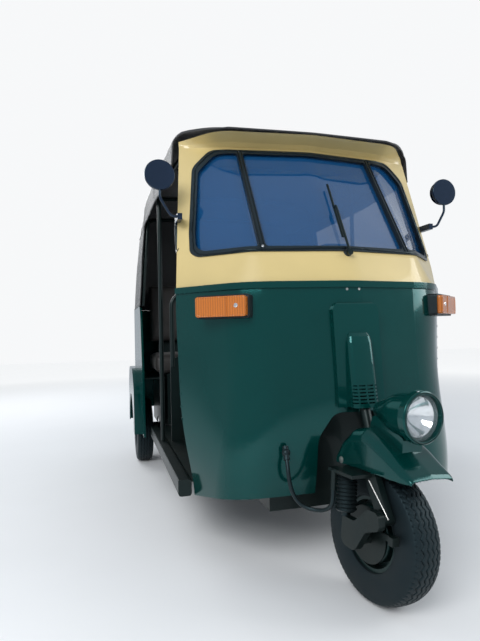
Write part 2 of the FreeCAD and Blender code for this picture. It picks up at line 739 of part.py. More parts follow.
seal_sections = screen_sections[1:3]
seal_skin = shell("seal_skin", "XY", seal_sections, d.gasket_stand_out,
    d.screen_wall + d.gasket_stand_out * 2)
seal_outer = fuse("seal_outer", *pane_prisms("seal", 0))
seal_block = common("seal_block", seal_skin, seal_outer)
keep(cut("seal", seal_block, *pane_prisms("seal_hole", d.gasket_lip)), "windscreen_seal")

glass_skin = shell("glass_skin", "XY", seal_sections, -d.screen_wall / 2, d.glass_wall)
keep(common("panes", glass_skin, fuse("pane_prisms", *pane_prisms("glass", d.gasket_lip))),
    "windscreen_glass")

# Raised panel on the nose, and the hump over the steering column with its louvres.
nose_line = [
    (back(102), d.nose_bottom), (back(119), d.sill_z + 505, 200), (back(133), d.nose_top, 12),
    (back(220), d.nose_top), (back(220), d.nose_bottom),
]
nose_plate = common("nose_plate", pad("nose_profile", "YZ", nose_line, -d.nose_half_width,
    d.nose_half_width * 2),
                    pad("nose_outline", "XZ", [
                        (-d.nose_half_width, d.nose_bottom), (d.nose_half_width, d.nose_bottom),
                        (d.nose_half_width, d.nose_top, 30), (-d.nose_half_width, d.nose_top, 30)],
                        back(40), 220))
# Hump: height, half width, front across the middle, front at its rounded side edge
HUMP = ((d.nose_bottom, 46, 58, 64, 20), (d.nose_bottom + 60, 46, 70, 76, 20),
    (d.nose_bottom + 140, 46, 82, 88, 20),
        (d.nose_bottom + 210, 45, 94, 100, 20), (d.nose_bottom + 230, 42, 100, 106, 18),
        (d.nose_bottom + 242, 36, 110, 115, 14))
hump_sections = [(level, [(half, back(200)), (half, back(side), rounding), (0, back(middle), 150)])
                 for level, half, middle, side, rounding in HUMP]
hump = filled("hump", "XY", hump_sections, 0)
louvre_rows = 6
louvre_pitch = 11
slots = []
for row in range(louvre_rows):
    level = d.nose_bottom + 13 + row * louvre_pitch
    for name, start, end in (("outer_right", -60, -31), ("right", -26, -3), ("left", 3, 26),
        ("outer_left", 31, 60)):
        slots.append(block("slot_%s_%d" % (name, row), (start, back(30), level),
            (end, back(84), level + 4.5)))
nose_raised = cut("nose_raised", fuse("nose_and_hump", nose_plate, hump), fascia_solid, column_room, *slots)
keep(nose_raised, "nose_panel")

# Turn signals, seated on the shell below the bead.
housings = []
lenses = []
for side, sign in (("left", 1), ("right", -1)):
    seat = "placement(vector(%r; Dims.front_axle_y + %r; %r); rotation(vector(0; 0; 1); %r))" % (
        sign * 426.0, 254.0, 913.0, sign * 38.0)
    case_block = gather("case_" + side, pad("case_block_" + side, "XZ", [
        (-98, -40, 10), (98, -40, 10), (98, 40, 10), (-98, 40, 10)], -14, 90))
    case_block.setExpression("Placement", seat)
    housings.append(cut("housing_" + side, case_block, fascia_solid))
    amber = gather("amber_" + side, pad("amber_block_" + side, "XZ", [
        (-92, -34, 8), (92, -34, 8), (92, 34, 8), (-92, 34, 8)], -32, 17.7))
    amber.setExpression("Placement", seat)
    lenses.append(amber)
keep(gather("signal_cases", *housings), "signal_housings")
keep(gather("signal_ambers", *lenses), "signal_lenses")


# Wheel well behind the arch: two sides, a back and a roof with a hole for the stem.
inner_space = filled("inner_space", "XY", fascia_sections, -d.shell_wall - 0.3, ruled=False)
well_wall = 6
well_back = 262
well_half = d.arch_half_width + 2
well_sides = pad("well_sides", "XY", [
    (-well_half - well_wall, back(20)), (-well_half, back(20)), (-well_half, back(well_back), 30),
    (well_half, back(well_back), 30), (well_half, back(20)), (well_half + well_wall, back(20)),
    (well_half + well_wall, back(well_back + well_wall), 36),
    (-well_half - well_wall, back(well_back + well_wall), 36)], d.sill_z - 12, d.arch_top - d.sill_z + 12)
well_roof = block("well_roof", (-well_half - well_wall, back(20), d.arch_top),
                  (well_half + well_wall, back(well_back + well_wall), d.arch_top + well_wall))
stem_at_roof = axis_point(float(d.arch_top))
stem_hole = rod("stem_hole", "Z", d.stem_radius + 24, 0, back(stem_at_roof.y - float(d.front_axle_y)),
                d.arch_top - 40, 90)
keep(common("well", cut("well_open", fuse("well_walls", well_sides, well_roof), stem_hole), inner_space),
     "wheel_well")

# Steering head: a tube round the stem, carried by a pressed pillar that stands on the well.
head_low, head_high = 700, 880
outer_tube = strut("head_outer", d.stem_radius + d.head_clearance + d.head_tube_wall,
                   axis_point(head_low), axis_point(head_high))
inner_tube = strut("head_inner", d.stem_radius + d.head_clearance, axis_point(head_low - 60),
    axis_point(head_high + 60))
pillar_foot = d.arch_top + well_wall + 0.3
low_y = axis_point(float(pillar_foot)).y
high_y = axis_point(head_high - 10).y
pillar = pad("pillar", "YZ", [(low_y + 62, pillar_foot), (low_y + 116, pillar_foot),
    (high_y + 40, head_high - 10),
                              (high_y, head_high - 10)], -26, 52)
keep(cut("head", fuse("head_and_pillar", outer_tube, pillar), inner_tube), "steering_head")

# Cabin floor, sills and chassis
floor = pad("floor", "XY", [
    (-350, back(292)), (350, back(292)), (452, back(408)), (468, back(446)), (d.floor_half_width, back(446)),
    (d.floor_half_width, back(d.entry_end)), (-d.floor_half_width, back(d.entry_end)),
    (-d.floor_half_width, back(446)), (-468, back(446)), (-452, back(408))],
    d.floor_z - d.floor_wall, d.floor_wall)
sill_low = d.floor_z - 60
sills = []
for side, low in (("left", d.floor_half_width + 0.3), ("right", -d.floor_half_width - 0.3 - d.sill_width)):
    sills.append(pad("sill_" + side, "XZ", [
        (low, sill_low, 12), (low + d.sill_width, sill_low, 12), (low + d.sill_width, d.floor_z, 12),
        (low, d.floor_z, 4)], back(446), d.entry_end - 446))
# The passengers' footwell has one flat pressed panel, clear of the seats and the sills.
tread_half = d.floor_half_width - 75
tread_start, tread_end = back(1195), back(1540)
tread = pad("floor_tread", "XY", [
    (-tread_half, tread_start, 30), (tread_half, tread_start, 30), (tread_half, tread_end, 30),
    (-tread_half, tread_end, 30)], d.floor_z - d.floor_wall / 2, d.floor_wall / 2 + d.tread_rise)
keep(gather("floor_and_sills", fuse("floor_with_tread", floor, tread), *sills), "cabin_floor")

rail_top = d.floor_z - d.floor_wall - 0.3
rail_low = rail_top - d.rail_height
rail_start, rail_end = back(well_back + well_wall + 0.3), back(2250)
members = []
for sign in (-1, 1):
    middle = d.rail_x * sign
    members.append(block("rail_%d" % (sign + 1), (middle - d.rail_width / 2, rail_start, rail_low),
                         (middle + d.rail_width / 2, rail_end, rail_top)))
cross_half = d.rail_x + d.rail_width / 2
for index, (start, width, half) in enumerate((
        (well_back + well_wall + 0.3, 40, cross_half), (700, 50, d.floor_half_width),
        (1100, 50, d.floor_half_width),
        (1500, 50, d.floor_half_width), (1910, 49, cross_half), (2250, 16, cross_half))):
    members.append(block("cross_%d" % index, (-half, back(start), rail_low),
        (half, back(start + width), rail_top)))
for sign in (-1, 1):
    middle = (d.rail_x + 70) * sign
    members.append(rod("arm_pivot_%d" % (sign + 1), "X", 24, middle - 45 + (0 if sign > 0 else 15),
        back(1640), 244, 75))
shaft_relief = rod("shaft_relief", "X", 27, -cross_half - 5, rear_axle, d.tyre_radius, (cross_half + 5) * 2)
keep(cut("chassis_relieved", fuse("chassis", *members), shaft_relief), "chassis_frame")

# Rear suspension: trailing arms, their hub carriers, spring legs and drive shafts
arms = []
legs = []
for side, sign in (("left", 1), ("right", -1)):
    hub_x = (d.rear_track / 2 - d.drum_width - 9) * sign
    carrier_end = hub_x - 70 * sign
    pivot = point(sign * 372, back(1640), 244)
    carrier_spot = point(carrier_end + 24 * sign, rear_axle, d.tyre_radius)
    arm_pieces = [strut("arm_" + side, 22, pivot, carrier_spot),
                  rod("arm_bush_" + side, "X", 26, 350.3 if sign > 0 else -378.3, back(1640), 244, 28),
                  rod("carrier_" + side, "X", 38, carrier_end if sign > 0 else hub_x, rear_axle,
                  d.tyre_radius, 70),
                  rod("plate_" + side, "X", d.drum_radius, hub_x if sign > 0 else hub_x - 4, rear_axle,
                      d.tyre_radius, 4)]
    axle_length = d.drum_width + 9 + d.hub_length - 8
    arm_pieces.append(rod("axle_" + side, "X", d.axle_radius, hub_x if sign > 0 else hub_x - axle_length,
                          rear_axle, d.tyre_radius, axle_length))
    arms.append(fuse("arm_set_" + side, *arm_pieces))
    leg_spot = pivot + (carrier_spot - pivot) * 0.62
    legs.append(turned("leg_" + side, "Z", [
        (leg_spot.z + 24, 0), (leg_spot.z + 24, 14), (leg_spot.z + 60, 14), (leg_spot.z + 60, 28),
        (d.bench_z - 42, 28), (d.bench_z - 42, 18), (d.bench_z - 12.3, 18), (d.bench_z - 12.3, 0)],
        leg_spot.x, leg_spot.y, 0))

engine_x = (-150, 190)
keep(block("engine_block", (engine_x[0], back(1959.3), 168), (engine_x[1], back(2249.7), 520)), "engine")
shafts = []
for side, start in (("right", -d.rear_track / 2 + d.drum_width + 9 + 70.3),
    ("left", Size(engine_x[1] + 0.3, "190.3"))):
    end = Size(engine_x[0] - 0.3, "-150.3") if side == "right" else d.rear_track / 2 - d.drum_width - 9 - 70.3
    shafts.append(rod("shaft_" + side, "X", 13, start, rear_axle, d.tyre_radius, end - start))
keep(gather("rear_running_gear", *arms, *legs, *shafts), "rear_suspension")
can = turned("can", "X", [(0, 0), (0, 34, 8), (22, 42, 8), (378, 42, 8), (400, 34, 8), (400, 0)], -240,
    back(2312), 190)
keep(fuse("silencer_parts", can, strut("exhaust_pipe", 15, point(60, back(2250), 187),
    point(60, back(2300), 187))),
     "silencer")

# Driver's place
box_front = 790
seat_half = 285
seat_shell = pad("seat_shell", "XY", [(-seat_half, back(box_front), 20), (seat_half, back(box_front), 20),
                                      (seat_half, back(d.partition_y - 0.3)),
                                      (-seat_half, back(d.partition_y - 0.3))],
                 d.floor_z + 0.3, d.seat_z - d.floor_z - 0.3)
seat_hollow = block("seat_hollow", (-seat_half + 10, back(box_front + 10), d.floor_z - 5),
                    (seat_half - 10, back(d.partition_y - 10), d.seat_z - 10))
keep(cut("seat_box", seat_shell, seat_hollow), "driver_seat_box")
driver_pad = pad("driver_pad", "XY", [
    (-seat_half, back(box_front - 8), 50), (seat_half, back(box_front - 8), 50), (seat_half, back(1072), 30),
    (-seat_half, back(1072), 30)], d.seat_z + 0.3, d.driver_pad)
driver_rest = pad("driver_rest", "XZ", [(-270, 680, 30), (270, 680, 30), (270, 950, 50), (-270, 950, 50)],
                  back(d.partition_y - 46.3), 46)
keep(gather("driver_pads", driver_pad, driver_rest), "driver_seat")
panel = pad("partition_panel", "XZ", [
    (-500, d.floor_z + 0.3), (500, d.floor_z + 0.3), (500, 700, 40), (320, 740, 40), (300, 970, 40),
    (-300, 970, 40),
    (-320, 740, 40), (-500, 700, 40)], back(d.partition_y), d.panel_wall)
guard_rail = tube("guard_rail", "XZ", [(-488, 660), (-488, 1030, 70), (488, 1030, 70), (488, 660)],
                  back(d.partition_y + 6), 12)
keep(fuse("partition_parts", panel, guard_rail), "partition")

# Passengers' bench
keep(pad("bench", "YZ", [
    (back(d.bench_front), d.floor_z - d.floor_wall), (back(d.bench_front + 10), d.floor_z - d.floor_wall),
    (back(d.bench_front + 10), d.bench_z - 12), (back(2140), d.bench_z - 12), (back(2225), 1160),
    (back(2213), 1160), (back(2130), d.bench_z), (back(d.bench_front), d.bench_z)], -455, 910), "bench_frame")
bench_pad = pad("bench_pad", "XY", [(-540, back(1618), 60), (540, back(1618), 60), (540, back(2098), 30),
                                    (-540, back(2098), 30)], d.bench_z + 0.3, d.bench_pad)
bench_rest = pad("bench_rest", "YZ", [
    (back(2104), 712, 30), (back(2147.9), 712, 10), (back(2210.9), 1150, 10), (back(2120), 1190, 40),
    (back(2076), 760, 40)], -530, 1060)
keep(gather("bench_pads", bench_pad, bench_rest), "bench_seat")

# Rear body: side panels with their wheel covers, the tail panel and the engine lid
arch_low = d.floor_z - 60
side_outline = [
    (back(d.entry_end + 0.3), arch_low), (back(d.entry_end + 30), 560, 160),
    (back(d.entry_end + 150), d.waist_z, 90),
    (back(d.tail_y - 52), d.waist_z), (back(d.tail_y - 52), arch_low)]
cover_outline = [
    (back(1668), arch_low), (back(1700), 500, 130), (back(1840), 612, 160), (back(2180), 612, 160),
    (back(2276), 480, 120), (back(2282), arch_low)]
cover_hollow = [
    (back(1676), arch_low - 5), (back(1707), 497, 124), (back(1842), 605, 154), (back(2178), 605, 154),
    (back(2269), 478, 114), (back(2274), arch_low - 5)]
cover_wall = 6
housings_inner = []
for side, sign in (("left", 1), ("right", -1)):
    inner_face = d.body_half_width - d.panel_wall if sign > 0 else -d.body_half_width
    cover_face = d.body_half_width if sign > 0 else -d.fender_half_width
    cover_depth = d.fender_half_width - d.body_half_width
    hollow_face = d.body_half_width - 20 if sign > 0 else -d.fender_half_width + cover_wall
    side_panel = cut("side_panel_" + side, pad("side_skin_" + side, "YZ", side_outline, inner_face,
        d.panel_wall),
                     rod("side_arch_" + side, "X", d.rear_arch_radius, inner_face - 10, rear_axle,
                     d.tyre_radius,
                         d.panel_wall + 20))
    cover = cut("cover_" + side, pad("cover_skin_" + side, "YZ", cover_outline, cover_face, cover_depth),
                pad("cover_hollow_" + side, "YZ", cover_hollow, hollow_face, cover_depth + 20 - cover_wall),
                rod("cover_arch_" + side, "X", d.rear_arch_radius - 18, cover_face - 10, rear_axle,
                d.tyre_radius,
                    cover_depth + 20))
    keep(fuse("rear_side_parts_" + side, side_panel, cover), "rear_side_" + side)
    near, far = 470, d.body_half_width - d.panel_wall - 0.3
    outline = [(near * sign, arch_low), ((near + 8) * sign, arch_low), ((near + 8) * sign, 556),
        (far * sign, 556),
               (far * sign, 564), (near * sign, 564)]
    housings_inner.append(pad("housing_skin_" + side, "XZ", outline, back(1651), 640))
carrier_room = rod("carrier_room", "X", 76, -500, rear_axle, d.tyre_radius, 1000)
keep(cut("housings_open", gather("housing_pair", *housings_inner), carrier_room), "wheel_housings")

tail_low = 300
tail_run = [(d.body_half_width, back(d.tail_y - 51.7)), (d.body_half_width, back(d.tail_y), 46),
    (0, back(d.tail_y))]
tail_skin = shell("tail_skin", "XY", [(tail_low, tail_run), (d.waist_z, tail_run)], 0, d.panel_wall)
lid_cut = pad("lid_cut", "XZ", [
    (-d.lid_half_width - d.lid_gap, d.lid_bottom - d.lid_gap, 30),
    (d.lid_half_width + d.lid_gap, d.lid_bottom - d.lid_gap, 30),
    (d.lid_half_width + d.lid_gap, d.lid_top + d.lid_gap, 30),
    (-d.lid_half_width - d.lid_gap, d.lid_top + d.lid_gap, 30)],
    back(d.tail_y - 60), 100)
hinge_y, hinge_z = back(d.tail_y + 6), d.lid_top + 16
ears = []
for index, middle in enumerate((-200, 200)):
    for offset in (-24, 14):
        ears.append(block("ear_%d_%d" % (index, offset + 24),
            (middle + offset, back(d.tail_y), hinge_z - 5.5),
                          (middle + offset + 10, back(d.tail_y + 13), hinge_z + 26)))
hinge_hole = rod("hinge_hole", "X", 3.5, -260, hinge_y, hinge_z, 520)
keep(cut("tail_parts", fuse("tail_and_ears", cut("tail_open", tail_skin, lid_cut), *ears), hinge_hole),
    "tail_panel")

lid_plate = pad("lid_plate", "XZ", [
    (-d.lid_half_width, d.lid_bottom, 26), (d.lid_half_width, d.lid_bottom, 26),
    (d.lid_half_width, d.lid_top, 26),
    (-d.lid_half_width, d.lid_top, 26)], back(d.tail_y - d.panel_wall), d.panel_wall)
vents = []
for column in (-1, 1):
    for row in range(8):
        middle = column * 150
        level = d.lid_bottom + 150 + row * 30
        vents.append(block("vent_%d_%d" % (column + 1, row), (middle - 90, back(d.tail_y - 30), level),
                           (middle + 90, back(d.tail_y + 10), level + 12)))
straps = []
for index, middle in enumerate((-200, 200)):
    straps.append(block("strap_%d" % index, (middle - 12, back(d.tail_y), d.lid_top - 60),
                        (middle + 12, back(d.tail_y + 7), d.lid_top - 2)))
    straps.append(block("strap_end_%d" % index, (middle - 12, back(d.tail_y + 2), d.lid_top - 8),
                        (middle + 12, back(d.tail_y + 7), hinge_z)))
    straps.append(rod("knuckle_%d" % index, "X", 3, middle - 24, hinge_y, hinge_z, 48))
straps.append(block("lid_handle", (-40, back(d.tail_y), d.lid_bottom + 30),
    (40, back(d.tail_y + 16), d.lid_bottom + 46)))
keep(fuse("lid_parts", cut("lid_vented", lid_plate, *vents), *straps), "engine_lid")

bumper_half, bumper_z = 540, 350
bracket_middle, bracket_half = 300, 25
bumper_parts = [rod("bumper_bar", "X", d.bumper_radius, -bumper_half, back(d.bumper_y), bumper_z,
    bumper_half * 2)]
for index, middle in enumerate((-bracket_middle, bracket_middle)):
    bumper_parts.append(block("bumper_foot_%d" % index, (middle - bracket_half, back(d.tail_y + 0.3),
        bumper_z - 15),
                              (middle + bracket_half, back(d.bumper_y), bumper_z + 15)))
    # Each foot ends in a strap that grips the tube all round, so the tube is free from there to its end.
    bumper_parts.append(rod("bumper_strap_%d" % index, "X", d.bumper_radius + d.bracket_wall,
        middle - bracket_half,
                            back(d.bumper_y), bumper_z, bracket_half * 2))
for end in (-bumper_half, bumper_half):
    bumper_parts.append(ball("bumper_end_%d" % (end + bumper_half), d.bumper_radius,
                             point(end, back(d.bumper_y), bumper_z)))
keep(fuse("bumper", *bumper_parts), "rear_bumper")
tail_lights = []
for side, sign in (("left", 1), ("right", -1)):
    tail_lights.append(pad("tail_light_" + side, "XZ", [
        (sign * 470, 700, 16), (sign * 550, 700, 16), (sign * 550, 830, 16), (sign * 470, 830, 16)],
        back(d.tail_y + 0.3), 26))
keep(gather("tail_light_pair", *tail_lights), "tail_lamps")

# Hood: hoops and rails, the roof and the back curtain
HOODS = (
    # station, edge across and up, shoulder across and up, rounding, middle
    (428, 532, 1592, 524, 1613, 14, 1614),
    (640, 548, 1500, 540, 1648, 60, 1668),
    (1120, 566, 1488, 558, 1690, 100, 1710),
    (1650, 574, 1488, 562, 1690, 100, 1710),
    (2256, 560, 1488, 546, 1634, 110, 1656),
)
hood_sections = []
for station, edge_x, edge_z, shoulder_x, shoulder_z, rounding, middle_z in HOODS:
    drop = d.hood_top - 1710
    hood_sections.append((back(station), [(edge_x, drop + edge_z), (shoulder_x, drop + shoulder_z, rounding),
                                          (0, drop + middle_z)]))
roof_plan = pad("roof_plan", "XY", [
    (-600, back(2270)), (-600, back(640)), (-524, back(612)), (-388, back(462), 150),
    (0, back(430), nose_rounding),
    (388, back(462), 150), (524, back(612)), (600, back(640)), (600, back(2270))], 1400, 400)
keep(common("roof", shell("roof_skin", "XZ", hood_sections, 0, d.hood_wall), roof_plan), "hood_roof")

# Hoop: station, foot across and up, shoulder across, shoulder and crown below the hood's top
HOOPS = ((1150, 540, d.floor_z + 0.3, 540, 37.5, 17.5), (1730, 586, d.waist_z + 0.3, 538, 46, 25.5),
         (2150, 586, d.waist_z + 0.3, 526, 84, 62))
hoops = []
for index, (station, foot_x, foot_z, shoulder_x, shoulder_drop, crown_drop) in enumerate(HOOPS):
    shoulder, crown = d.hood_top - shoulder_drop, d.hood_top - crown_drop
    hoops.append(tube("hoop_%d" % index, "XZ", [
        (-foot_x, foot_z), (-shoulder_x, shoulder, 90), (0, crown, 900), (shoulder_x, shoulder, 90),
        (foot_x, foot_z)], back(station), d.hoop_radius))
rail_level = 1548
for sign in (-1, 1):
    spots = [point(sign * 500, back(632), rail_level), point(sign * 540, back(1150), rail_level),
             point(sign * 548, back(1730), rail_level), point(sign * 538, back(2150), rail_level)]
    for index in range(3):
        hoops.append(strut("hood_rail_%d_%d" % (sign + 1, index), d.hoop_radius, spots[index],
            spots[index + 1]))
keep(fuse("hoops", *hoops), "hood_frame")

BACK = ((d.waist_z + 0.3, 606, 1700, 2336, 70), (d.waist_z + 300, 590, 1690, 2302, 100),
        (d.hood_top - 230, 571, 1684, 2248, 110), (d.hood_top - 40, 545, 1680, 2206, 120))
back_sections = [(level, [(half, back(start)), (half, back(end), rounding), (0, back(end))])
                 for level, half, start, end, rounding in BACK]
rear_of_hoops = block("rear_of_hoops", (-700, back(2165), 1400), (700, back(2400), 1800))
under_roof = fuse("under_roof", common("rear_under_roof",
    filled("roof_inside", "XZ", hood_sections, -d.hood_wall - 0.3),
                                       rear_of_hoops),
                  block("below_roof", (-700, back(1600), 900), (700, back(2400), 1487.5)))
back_curtain = common("back_curtain", shell("back_skin", "XY", back_sections, 0, d.hood_wall), under_roof)
window_outline = [(-250, 1190, 50), (250, 1190, 50), (250, 1420, 50), (-250, 1420, 50)]
window_cut = pad("window_cut", "XZ", window_outline, back(2100), 300)
keep(cut("curtain_open", back_curtain, window_cut), "hood_back")
window_inset = [(-249.7, 1190.3, 50), (249.7, 1190.3, 50), (249.7, 1419.7, 50), (-249.7, 1419.7, 50)]
keep(common("window", shell("window_skin", "XY", back_sections, -2, 2),
    pad("window_prism", "XZ", window_inset,
            back(2100), 300)), "hood_window")

# Mirrors on their arms, grab handles, wiper and dashboard
mirror_parts = []
for side, sign in (("left", 1), ("right", -1)):
    head = turned("mirror_head_" + side, "Y", [(0, 0), (0, d.mirror_radius - 1, 3), (14, d.mirror_radius, 6),
                                                (24, 0)], sign * 612, back(448), 1414)
    arm = tube("mirror_arm_" + side, "XZ", [(sign * 531, 1262), (sign * 572, 1262, 30),
        (sign * 612, 1330, 40),
                                            (sign * 612, 1370)], back(456), 5)
    clamp = block("mirror_clamp_" + side, (sign * 540 - 9, back(450), 1250),
        (sign * 540 + 9, back(522), 1274))
    mirror_parts.append(fuse("mirror_" + side, head, arm, clamp))
frame_solid = filled("frame_solid", "XY", screen_sections, 0.3)
keep(cut("mirrors_seated", gather("mirror_pair", *mirror_parts), frame_solid, frame_skin), "mirrors")

handles = []
for side, sign in (("left", 1), ("right", -1)):
    handles.append(tube("handle_" + side, "YZ", [(back(484), 1140), (back(534), 1140, 18),
        (back(560), 1252, 18),
                                                 (back(527), 1252)], sign * 538, 9))
keep(cut("handles_seated", gather("handle_pair", *handles), frame_skin), "grab_handles")

spindle = rod("spindle", "Y", 10, 12, back(176), 1097, 30)
wiper_arm = strut("wiper_arm", 4.5, point(12, back(181), 1097), point(25, back(306), 1290))
wiper_blade = strut("wiper_blade", 4.5, point(14, back(236), 1160), point(34, back(395), 1396))
wiper_tie = strut("wiper_tie", 5, point(25, back(306), 1290), point(25, back(322), 1288))
keep(cut("wiper_seated", fuse("wiper_parts", spindle, wiper_arm, wiper_blade, wiper_tie), frame_skin,
    seal_skin), "wiper")

cabin_front = filled("cabin_front", "XY", screen_sections[:2], -d.screen_wall - 0.3)
shelf_plan = pad("shelf_plan", "XY", [
    (-400, back(150)), (400, back(150)), (400, back(262), 10), (90, back(262), 20), (90, back(318), 12),
    (-90, back(318), 12), (-90, back(262), 20), (-400, back(262), 10)], 1046, 18)
shelf = common("shelf", shelf_plan, cabin_front)
pod = pad("pod", "XZ", [(-70, 1064.3), (70, 1064.3), (62, 1140, 30), (-62, 1140, 30)], back(264), 46)
keep(gather("shelf_and_pod", shelf, pod), "dashboard")


# Brake hose: it leaves the shell downwards, hangs in a loop and ends in the union on the fork.
HOSE = ((-260, 126, 414), (-262, 113, 390), (-260, 107, 354), (-250, 104, 316), (-229, 100, 284),
    (-203, 90, 268),
        (-177, 68, 262), (-162, 40, 268), (-157, 19, 286))
hose_route = [point(x, back(y), z) for x, y, z in HOSE]
hose_way = (hose_route[1] - hose_route[0]).normalize()
grommet = fuse("grommet_parts", strut("grommet_boss", 10, hose_route[0] - hose_way * 44, hose_route[0]),
               ball("grommet_dome", 14, hose_route[0] - hose_way * 24))
keep(cut("grommet_seated", grommet, fascia_solid), "hose_grommet")


def turned_to_rest(spot):
    """Where a point of the front end lies once it is turned to the parked steering angle."""
    foot = axis_point(0)
    axis = (axis_point(1) - foot).normalize()
    return foot + Rotation(axis, float(d.rest_steer)).multVec(spot - foot)


def cord(name, route, radius):
    """A tube along straight runs joined by tangent arcs; it prints each arc's radius."""
    edges = []
    start = route[0]
    for before, corner, after in zip(route, route[1:], route[2:]):
        coming, going = before - corner, after - corner
        half = coming.getAngle(going) / 2
        reach = 0.45 * min(coming.Length, going.Length)
        bend = reach * math.tan(half)
        print("hose bend radius %.0f mm" % bend)
        first = corner + coming.normalize() * reach
        last = corner + going.normalize() * reach
        middle_line = (coming + going).normalize()
        middle = corner + middle_line * (bend / math.sin(half) - bend)
        edges.append(Part.LineSegment(start, first).toShape())
        edges.append(Part.Arc(first, middle, last).toShape())
        start = last
    edges.append(Part.LineSegment(start, route[-1]).toShape())
    path = Part.Wire(edges)
    ring = Part.Wire([Part.Circle(route[0], route[1] - route[0], float(radius)).toShape()])
    solid = path.makePipeShell([ring], True, False, 2)
    share = solid.Volume / (math.pi * float(radius) ** 2 * path.Length)
    print("hose length %.1f mm, volume over section times length %.4f" % (path.Length, share))
    item = doc.addObject("Part::Feature", name)
    item.Shape = solid
    return item


for drop in (34, 0):
    hose_route.append(turned_to_rest(point(union_x, back(union_y), union_z - drop)))
keep(cord("hose_tube", hose_route, d.hose_radius), "brake_hose")

doc.recompute()

failed = [item.Name for item in doc.Objects if any(word in item.State for word in ("Invalid", "Error"))]
if failed:
    raise RuntimeError("features that did not build: %s" % ", ".join(failed))
unsound = [item.Label for item in NODES if item.Shape.isNull() or not item.Shape.isValid()]
if unsound:
    raise RuntimeError("sub-parts without a valid shape: %s" % ", ".join(unsound))

for item in NODES:
    box = item.Shape.BoundBox
    print("%-20s solids %d, %.0f cm3, x %.0f..%.0f, y %.0f..%.0f, z %.1f..%.0f" % (
        item.Label, len(item.Shape.Solids), item.Shape.Volume / 1000,
        box.XMin, box.XMax, box.YMin, box.YMax, box.ZMin, box.ZMax))

os.makedirs("parts", exist_ok=True)
for item in NODES:
    item.Shape.exportStep("parts/%s.step" % item.Label)
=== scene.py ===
# %% [markdown]
# Auto rickshaw
# This lesson dresses the construction of a three-wheeled motor taxi: a dark green steel nose under
# a cream windscreen frame, a soft black hood, one steered wheel with its lamp and mudguard, and a
# bench at the rear. The solids come from the frame, in metres, with the nose towards -Y. Every
# piece made here is placed by their sizes.

# %% Load the frame
import json
import math

import bmesh
import bpy
import numpy as np
from mathutils import Matrix, Vector
from mathutils.bvhtree import BVHTree


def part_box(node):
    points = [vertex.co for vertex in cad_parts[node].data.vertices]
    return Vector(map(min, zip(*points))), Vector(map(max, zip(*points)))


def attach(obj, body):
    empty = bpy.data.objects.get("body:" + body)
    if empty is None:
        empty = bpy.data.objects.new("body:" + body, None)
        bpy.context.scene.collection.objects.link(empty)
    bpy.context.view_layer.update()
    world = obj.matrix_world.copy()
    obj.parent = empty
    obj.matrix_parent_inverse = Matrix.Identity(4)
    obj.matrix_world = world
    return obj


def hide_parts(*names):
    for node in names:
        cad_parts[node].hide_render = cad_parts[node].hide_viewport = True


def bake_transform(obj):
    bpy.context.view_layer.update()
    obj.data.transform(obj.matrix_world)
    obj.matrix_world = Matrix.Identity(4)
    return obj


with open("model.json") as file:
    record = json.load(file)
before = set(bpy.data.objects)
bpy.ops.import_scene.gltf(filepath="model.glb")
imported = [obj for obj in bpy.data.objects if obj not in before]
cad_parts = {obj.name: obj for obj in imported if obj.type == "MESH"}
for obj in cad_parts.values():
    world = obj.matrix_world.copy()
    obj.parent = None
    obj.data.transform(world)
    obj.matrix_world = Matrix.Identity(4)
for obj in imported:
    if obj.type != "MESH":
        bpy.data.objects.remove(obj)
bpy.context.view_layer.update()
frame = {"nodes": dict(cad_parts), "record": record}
NODES = frame["nodes"]
BODY, STEERING, FRONT_WHEEL = "vehicle_body", "steering", "front_wheel"
SIDES = ((-1, "right"), (1, "left"))


def linked(name, data):
    """A new object in the scene for a mesh, a curve, a lamp or a camera."""
    obj = bpy.data.objects.new(name, data)
    bpy.context.scene.collection.objects.link(obj)
    return obj


def plain_mesh(holder):
    """An object's shape with its modifiers or its bevel, as a mesh."""
    return bpy.data.meshes.new_from_object(holder.evaluated_get(bpy.context.evaluated_depsgraph_get()))


# %% [markdown]
# The camera
# A photograph can be matched by solving for the camera first. Here the camera stands low and close,
# ahead of the vehicle and to its right, with a wide lens that lets the nose loom over the wheel.
# Its place is written from the front axle, its turns in degrees, and its lens for a 36 mm sensor.

# %% Camera
PHOTO_WIDE, PHOTO_TALL = 480, 641
SENSOR, LENS = 36.0, 28.02
WHEELBASE = 2.0
REAR_TYRE_LOW, REAR_TYRE_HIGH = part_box("tyre_rear_left")
FRONT_AXLE_Y = (REAR_TYRE_LOW.y + REAR_TYRE_HIGH.y) / 2 - WHEELBASE
CAMERA_PLACE = Vector((-0.817, FRONT_AXLE_Y - 1.386, 0.826))
YAW, PITCH, ROLL = math.radians(15.23), math.radians(1.35), math.radians(-1.24)
VIEW_AHEAD = Vector((math.sin(YAW) * math.cos(PITCH), math.cos(YAW) * math.cos(PITCH), math.sin(PITCH)))

level = Vector((math.cos(YAW), -math.sin(YAW), 0))
upward = level.cross(VIEW_AHEAD)
VIEW_RIGHT = level * math.cos(ROLL) + upward * math.sin(ROLL)
VIEW_UP = upward * math.cos(ROLL) - level * math.sin(ROLL)
camera_data = bpy.data.cameras.new("photo_camera")
camera_data.sensor_width = SENSOR
camera_data.lens = LENS
camera = linked("photo_camera", camera_data)
camera_turn = Matrix((VIEW_RIGHT, VIEW_UP, -VIEW_AHEAD)).transposed()
camera.matrix_world = Matrix.Translation(CAMERA_PLACE) @ camera_turn.to_4x4()
bpy.context.scene.camera = camera
print("camera at", [round(v, 3) for v in CAMERA_PLACE])

# %% [markdown]
# Shader arithmetic
# A node tree is easier to read as an expression. A Signal wraps one output socket and answers to the
# usual operators by adding a Math node, so that `1 - mask * 0.4` builds its own little network. A
# Finish is one material in the making, and its `node` method adds any other kind of node.

